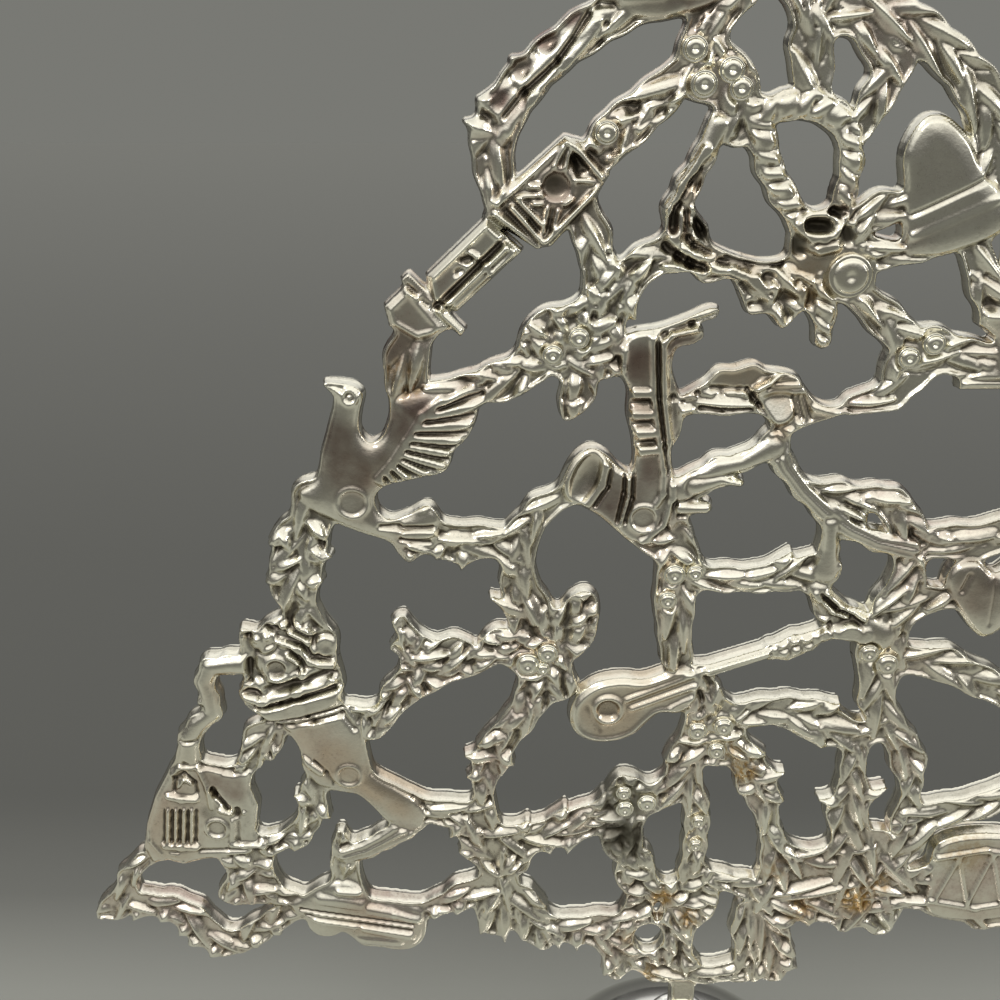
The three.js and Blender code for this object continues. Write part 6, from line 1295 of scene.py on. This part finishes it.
def berry_tree(berry, material):
    """Geometry nodes that set one berry on each point, turned to the face it stands on."""
    tree = bpy.data.node_groups.new("berries_on_points", "GeometryNodeTree")
    face = tree.interface
    face.new_socket("Points", in_out="INPUT", socket_type="NodeSocketGeometry")
    for name in ("Size", "Height"):
        face.new_socket(name, in_out="INPUT", socket_type="NodeSocketFloat").default_value = 1.0
    face.new_socket("Berries", in_out="OUTPUT", socket_type="NodeSocketGeometry")

    def node(kind, inputs=None, **settings):
        return add_node(tree, kind, settings, inputs)

    start = node("NodeGroupInput").outputs
    radius, back = (node("GeometryNodeInputNamedAttribute", {"Name": name}, data_type="FLOAT").outputs[0]
                    for name in ("berry_radius", "turn"))
    wide = node("ShaderNodeMath", {0: radius, 1: start["Size"]}, operation="MULTIPLY").outputs[0]
    scale = node("ShaderNodeCombineXYZ", {0: wide, 1: wide, 2: start["Height"]}).outputs[0]
    turn = node("ShaderNodeCombineXYZ", {0: back}).outputs[0]
    shape = node("GeometryNodeObjectInfo", {"Object": berry}, transform_space="ORIGINAL").outputs["Geometry"]
    placed = node("GeometryNodeInstanceOnPoints",
                  {"Points": start["Points"], "Instance": shape, "Rotation": turn, "Scale": scale})
    real = node("GeometryNodeRealizeInstances", {"Geometry": placed.outputs[0]})
    coated = node("GeometryNodeSetMaterial", {"Geometry": real.outputs[0], "Material": material})
    node("NodeGroupOutput", {0: coated.outputs[0]})
    return tree


def finished(obj, material, body, nodes=()):
    """Gives a piece its material, its body and the CAD nodes that it stands for."""
    obj.data.materials.clear()
    obj.data.materials.append(material)
    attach(obj, body)
    if nodes:
        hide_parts(*nodes)
    return obj


def length_property(name, description, default):
    return bpy.props.FloatProperty(name=name, description=description, default=default, min=0.0, soft_max=100.0)


def share_property(name, description, default, highest):
    return bpy.props.FloatProperty(name=name, description=description, default=default, min=0, max=highest,
                                   subtype="FACTOR")


def colour_property(name, description, default):
    return bpy.props.FloatVectorProperty(name=name, description=description, default=default, size=3, min=0,
                                         max=1, subtype="COLOR")


class TreeCastingSizes(bpy.types.PropertyGroup):
    """Sizes of the casting's relief, in millimetres."""
    cell: length_property("Cell", "Distance between the points of the relief, in millimetres", 0.24)
    thickness: length_property("Thickness", "Between the casting's flat faces, in millimetres", 4.2)
    rim_radius: length_property("Rim radius", "Rounding of the casting's edges, in millimetres", 0.75)
    hollow_depth: length_property("Hollow depth", "Depth of the gaps between the leaves, in millimetres", 0.9)
    leaf_height: length_property("Leaf height", "Height of the leaves over the flat face, in millimetres", 0.6)
    top_limit: length_property("Highest relief", "No relief stands further out than this, in millimetres", 0.66)
    berry_height: length_property("Berry height", "Height of a berry's dome, in millimetres", 2.2)
    bands: bpy.props.IntProperty(name="Bands", description="Bands of the casting's mesh, bottom to top",
                                 default=4, min=2, max=8)
    seed: bpy.props.IntProperty(name="Seed", description="Chooses how the small leaves lie", default=7)


class TreeBaseSizes(bpy.types.PropertyGroup):
    """Sizes of the base, in millimetres."""
    dome_radius: length_property("Dome radius", "Outer radius of the dome, in millimetres", 28.5)
    dome_wall: length_property("Dome wall", "Thickness of the spun dome, in millimetres", 0.9)
    plinth_radius: length_property("Plinth radius", "Outer radius of the plinth, in millimetres", 37.0)
    slot_width: length_property("Slot width", "Width of the slot for the tang, in millimetres", 3.6)
    slot_depth: length_property("Slot depth", "Front to back, in millimetres", 3.8)
    sides: bpy.props.IntProperty(name="Sides", description="Facets round a turned piece", default=160, min=16)


class TreeLooks(bpy.types.PropertyGroup):
    """Colours of the plate, the felt and the studio."""
    silver: colour_property("Silver", "The clean plate", (0.94, 0.92, 0.79))
    warm_silver: colour_property("Warm silver", "Plate that has begun to turn", (0.74, 0.66, 0.52))
    base_silver: colour_property("Base silver", "The polished plate of the base", (0.92, 0.91, 0.86))
    film_colour: colour_property("Film", "The dull film on flat places", (0.64, 0.61, 0.52))
    # Dark mauve: patina, and painted shade in some grooves and pits.
    dusk: colour_property("Dusk", "The dark mauve patina on the flattest places", (0.28, 0.19, 0.16))
    pale_brown: colour_property("Pale brown", "The pale brown patina on some ornaments", (0.72, 0.59, 0.44))
    mauve_film: colour_property("Mauve film", "Where the film has a brown or mauve cast", (0.56, 0.44, 0.38))
    # Grey-brown: on the casting it darkens the hollows and creases as tarnish and as painted shade; on the base
    # it colours small tarnish specks.
    tarnish_and_shade_colour: colour_property("Tarnish", "Grey-brown film in the hollows", (0.10, 0.085, 0.065))
    amber: colour_property("Amber", "Amber stains", (0.50, 0.30, 0.08))
    # Black spots: black tarnish, partly painted shade in pits and grooves.
    soot_and_pit_shade: colour_property("Black tarnish", "Black spots", (0.07, 0.062, 0.042))
    felt: colour_property("Felt", "The pad under the base", (0.05, 0.13, 0.08))
    floor: colour_property("Floor", "The floor and the backdrop", (0.30, 0.30, 0.295))
    film: share_property("Film amount", "How dull the flat places are", 0.75, 2)
    # How dark the hollows and creases are painted, as tarnish and as painted shade.
    tarnish_and_shade: share_property("Tarnish amount", "How dark the hollows are", 0.9, 2)
    gloss: share_property("Roughness", "Roughness of the clean plate", 0.1, 1)


def looks():
    """The colours chosen in the panel."""
    return bpy.context.scene.filigree_looks


def painted(sheet, spots):
    """A layer with soft round spots, for places on the casting's face."""
    layer = sheet.blank(0)
    for sx, sz, radius, strength in spots:
        spans, rho = layer.round_window(sx, sz, radius, 1.6)
        spot = strength * soft_step(1.5 - rho)
        current = layer.values[spans]
        layer.values[spans] = np.where(np.abs(spot) > np.abs(current), spot, current)
    return layer.values


class CastingForm:
    """What the skin of the casting needs besides its drawing."""

    def __init__(self, sizes):
        self.thickness, self.bands, self.rim = sizes.thickness, sizes.bands, sizes.rim_radius
        half = sizes.thickness / 2 - sizes.rim_radius
        shift, width = PARTING_SHIFT, PARTING_HALF
        # Down the side: the depth of each row of points, how far it is drawn out and the lean of its normals.
        self.side_rows = [(-half * 0.5, 0.08, -0.1), (shift - width, 0.14, -0.35), (shift, 0.26, 0.0),
                          (shift + width, 0.14, 0.35)]


class BuildTreeCasting(bpy.types.Operator):
    """Builds the openwork casting with its leaves and ornaments, and the tang under its trunk"""
    bl_idname = "filigree.tree_casting"
    bl_label = "Tree Casting"

    def execute(self, context):
        sizes = context.scene.filigree_casting
        sheet = trace_casting(sizes.cell)
        relief, face, marks = casting_heights(sheet, sizes)
        marks["stain"], marks["patina"] = painted(sheet, STAINS), painted(sheet, PATINA)
        surface = Surface(sheet, relief, face, marks, CastingForm(sizes))
        material = silver_of_the_casting(looks())
        for number in range(2 * sizes.bands):
            points, normals, marks, triangles = surface.part(number)
            name = "casting_%s_%d" % (("left", "right")[number % 2], number // 2 + 1)
            obj = mesh_from_arrays(name, points * MM, triangles, normals, marks)
            finished(obj, material, "tree", ["tree_panel"])
        foot = bevelled_bar("tree_tang", *TANG)
        finished(foot, material, "tree", ["tree_panel"])
        return {"FINISHED"}


def bevelled_bar(name, wide, deep, low, high, bevel):
    """An upright bar with bevelled edges, in millimetres."""
    rings = []
    for z, inset in ((low, bevel), (low + bevel, 0), (high - bevel, 0), (high, bevel)):
        w, d = wide / 2 - inset, deep / 2 - inset
        rings.append([(w, -d + bevel, z), (w, d - bevel, z), (w - bevel, d, z), (-w + bevel, d, z),
                      (-w, d - bevel, z), (-w, -d + bevel, z), (-w + bevel, -d, z), (w - bevel, -d, z)])
    points = [p for ring in rings for p in ring]
    index = np.arange(len(points)).reshape(len(rings), -1).tolist()
    faces = [face for low_ring, high_ring in zip(index, index[1:]) for face in strip(low_ring, high_ring)]
    faces += [(a, c, b) for a, b, c in fan(index[0])] + fan(index[-1])
    obj = mesh_from_arrays(name, np.array(points) * MM, np.array(faces))
    obj.data.shade_flat()
    return obj


class BuildBerries(bpy.types.Operator):
    """Sets the berries on both faces of the casting"""
    bl_idname = "filigree.berries"
    bl_label = "Berries"

    def execute(self, context):
        sizes = context.scene.filigree_casting
        material = silver_of_the_casting(looks())
        berry = turned_piece("one_berry", berry_profile(), 28)
        seat = sizes.thickness / 2 + sizes.top_limit - BERRY_DOME * sizes.berry_height
        mesh = bpy.data.meshes.new("berry_points")
        points = [(x * MM, side * seat * MM, z * MM) for side in (-1, 1) for x, z, _ in BERRIES]
        mesh.from_pydata(points, [], [])
        radii = [radius for _, _, radius in BERRIES]
        turns = [math.pi / 2] * len(radii) + [-math.pi / 2] * len(radii)
        for mark, values in (("berry_radius", radii * 2), ("turn", turns)):
            mesh.attributes.new(mark, "FLOAT", "POINT").data.foreach_set("value", values)
        holder = bpy.data.objects.new("berries", mesh)
        context.scene.collection.objects.link(holder)
        modifier = holder.modifiers.new("Berries", "NODES")
        modifier.node_group = berry_tree(berry, material)
        sockets = {item.name: item.identifier for item in modifier.node_group.interface.items_tree
                   if item.in_out == "INPUT"}
        modifier[sockets["Size"]] = 1.0
        modifier[sockets["Height"]] = sizes.berry_height
        evaluated = holder.evaluated_get(context.evaluated_depsgraph_get())
        made = bpy.data.meshes.new_from_object(evaluated)
        holder.modifiers.remove(modifier)
        holder.data = made
        made.shade_smooth()
        bpy.data.objects.remove(berry)
        finished(holder, material, "tree", ["tree_panel"])
        return {"FINISHED"}


def extent_mm(name):
    """The lowest and the highest z of a CAD node and its furthest x, in millimetres."""
    low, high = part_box(name)
    return low[2] / MM, high[2] / MM, high[0] / MM


class BuildDomedBase(bpy.types.Operator):
    """Builds the spun dome, the plinth ring and the collar on top"""
    bl_idname = "filigree.domed_base"
    bl_label = "Domed Base"

    def execute(self, context):
        sizes = context.scene.filigree_base
        material = silver_of_the_base(looks())
        bottom, top, _ = extent_mm("base_dome")
        centre, hollow = top - sizes.dome_radius, sizes.dome_radius - sizes.dome_wall
        rows = [(hollow, bottom), (sizes.dome_radius, bottom)]
        there = range(DOME_STEPS + 1)
        for radius, steps in ((sizes.dome_radius, there), (hollow, reversed(there))):
            end = math.acos(DOME_BORE / radius)
            angles = [end * k / DOME_STEPS for k in steps]
            rows += [(radius * math.cos(a), centre + radius * math.sin(a)) for a in angles]
        dome = turned_piece("spun_dome", rows, sizes.sides)
        finished(dome, material, "base", ["base_dome"])

        foot, top, _ = extent_mm("plinth_ring")
        r, inner, rise = sizes.plinth_radius, sizes.dome_radius + 0.15, top - foot
        section = [(inner, bottom), (PLINTH_SEAT, bottom), (PLINTH_SEAT, foot), (r - 0.9, foot),
                   (r, foot + 0.9), (r, foot + rise * 0.4), (r - 2.6, foot + rise * 0.55),
                   (r - 2.6, top - 0.9), (r - 3.5, top), (inner, top)]
        ring = turned_piece("moulded_plinth", rounded(section, 0.5), sizes.sides)
        finished(ring, material, "base", ["plinth_ring"])

        foot, top, wide = extent_mm("trunk_socket")
        slot = (sizes.slot_width / 2, sizes.slot_depth / 2)
        slot_floor = extent_mm("tree_panel")[0] - 2.5
        outside = rounded([(0, foot), (4.0, foot), (4.0, top - 2.4), (wide, top - 2.4), (wide, top - 1.2),
                           (4.6, top)], 0.35, closed=False)
        inside = [((slot[0] + 0.3, slot[1] + 0.3), top), (slot, top - 0.3), (slot, slot_floor), (0, slot_floor)]
        collar = turned_piece("slotted_collar", [tuple(row) for row in outside] + inside, sizes.sides)
        finished(collar, material, "base", ["trunk_socket"])
        return {"FINISHED"}


class FinishInnerPieces(bpy.types.Operator):
    """Gives the felt pad and the pieces inside the base their finishes"""
    bl_idname = "filigree.inner_pieces"
    bl_label = "Felt and Inner Pieces"

    def execute(self, context):
        _, top, radius = extent_mm("felt_pad")
        section = rounded([(0, 0), (radius, 0), (radius, top), (0, top)], 0.3)
        pad = turned_piece("pressed_felt_pad", section, context.scene.filigree_base.sides)
        finished(pad, felt_finish(looks().felt), "base", ["felt_pad"])
        steel = plain_metal("zinc_steel", (0.6, 0.6, 0.62), 0.42, 1.2, 0.02)
        iron = plain_metal("rough_iron", (0.2, 0.2, 0.21), 0.75, 1.6, 0.2)
        for name, material in (("bottom_plate", steel), ("socket_washer", steel), ("socket_nut", steel),
                               ("base_weight", iron)):
            node = bpy.data.objects[name]
            node.data.materials.clear()
            node.data.materials.append(material)
        return {"FINISHED"}


def studio_air(world):
    """Dim air below, bright air above and ahead; the camera itself sees one plain grey."""
    world.use_nodes = True
    tree = world.node_tree

    def node(kind, inputs=None, **settings):
        return add_node(tree, kind, settings, inputs).outputs

    way = node("ShaderNodeSeparateXYZ", {"Vector": node("ShaderNodeTexCoord")["Generated"]})
    half = node("ShaderNodeMath", {0: way["Z"], 1: 0.5, 2: 0.5}, operation="MULTIPLY_ADD")[0]
    front = node("ShaderNodeMath", {0: way["Y"], 1: -0.4, 2: 1.05}, operation="MULTIPLY_ADD")[0]
    sweep = grey_ramp(tree, half, AIR, AIR_TINT)
    shade = node("ShaderNodeMix", {0: 1, 6: sweep, 7: front}, data_type="RGBA", blend_type="MULTIPLY")[2]
    camera = node("ShaderNodeLightPath")["Is Camera Ray"]
    seen = node("ShaderNodeMix", {0: camera, 6: shade, 7: SEEN_AIR}, data_type="RGBA")[2]
    feed(tree, tree.nodes["Background"], {"Color": seen})


class BuildStage(bpy.types.Operator):
    """Builds the floor, the backdrop, the lamps and the camera"""
    bl_idname = "filigree.stage"
    bl_label = "Stage"

    def execute(self, context):
        scene = context.scene
        mesh = bpy.data.meshes.new("plain_floor")
        mesh.from_pydata([(-FLOOR_SIDE, FLOOR_FRONT, 0), (FLOOR_SIDE, FLOOR_FRONT, 0),
                          (FLOOR_SIDE, FLOOR_BACK, 0), (-FLOOR_SIDE, FLOOR_BACK, 0)], [], [(0, 1, 2, 3)])
        mesh.materials.append(floor_finish(looks().floor))
        floor = bpy.data.objects.new("plain_floor", mesh)
        scene.collection.objects.link(floor)

        for name, place, aim, size, power in LAMPS:
            lamp = bpy.data.lights.new(name, "AREA")
            lamp.shape, lamp.size, lamp.size_y, lamp.energy = "RECTANGLE", size[0], size[1], power
            obj = bpy.data.objects.new(name, lamp)
            obj.location = place
            obj.rotation_euler = (Vector(aim) - Vector(place)).to_track_quat("-Z", "Y").to_euler()
            scene.collection.objects.link(obj)

        scene.world = bpy.data.worlds.new("studio_air")
        studio_air(scene.world)

        data = bpy.data.cameras.new("camera")
        data.lens, data.sensor_width = CAMERA_LENS, 36
        data.clip_start, data.clip_end = 0.01, 20
        camera = bpy.data.objects.new("camera", data)
        camera.location = [v * MM for v in CAMERA_PLACE_MM]
        camera.rotation_euler = (math.radians(CAMERA_TILT), 0, 0)
        scene.collection.objects.link(camera)
        scene.camera = camera
        scene.view_settings.view_transform = "Standard"
        return {"FINISHED"}


class FiligreeTreePanel(bpy.types.Panel):
    """Sizes, colours and steps of the filigree tree"""
    bl_idname = "VIEW3D_PT_filigree_tree"
    bl_label = "Filigree Tree"
    bl_space_type = "VIEW_3D"
    bl_region_type = "UI"
    bl_category = "Filigree Tree"

    def draw(self, context):
        for group in (getattr(context.scene, name) for name in GROUPS):
            box = self.layout.box()
            for name in type(group).__annotations__:
                box.prop(group, name)
        for operator in OPERATORS:
            self.layout.operator(operator.bl_idname)


GROUPS = {"filigree_casting": TreeCastingSizes, "filigree_base": TreeBaseSizes, "filigree_looks": TreeLooks}
OPERATORS = (BuildTreeCasting, BuildBerries, BuildDomedBase, FinishInnerPieces, BuildStage)


def register():
    for kind in (*GROUPS.values(), *OPERATORS, FiligreeTreePanel):
        bpy.utils.register_class(kind)
    for name, kind in GROUPS.items():
        setattr(bpy.types.Scene, name, bpy.props.PointerProperty(type=kind))


def unregister():
    for name in GROUPS:
        delattr(bpy.types.Scene, name)
    for kind in (FiligreeTreePanel, *reversed(OPERATORS), *reversed(GROUPS.values())):
        bpy.utils.unregister_class(kind)


def main():
    register()
    bpy.ops.filigree.tree_casting()
    bpy.ops.filigree.berries()
    bpy.ops.filigree.domed_base()
    bpy.ops.filigree.inner_pieces()
    bpy.ops.filigree.stage()


if __name__ == "__main__":
    main()
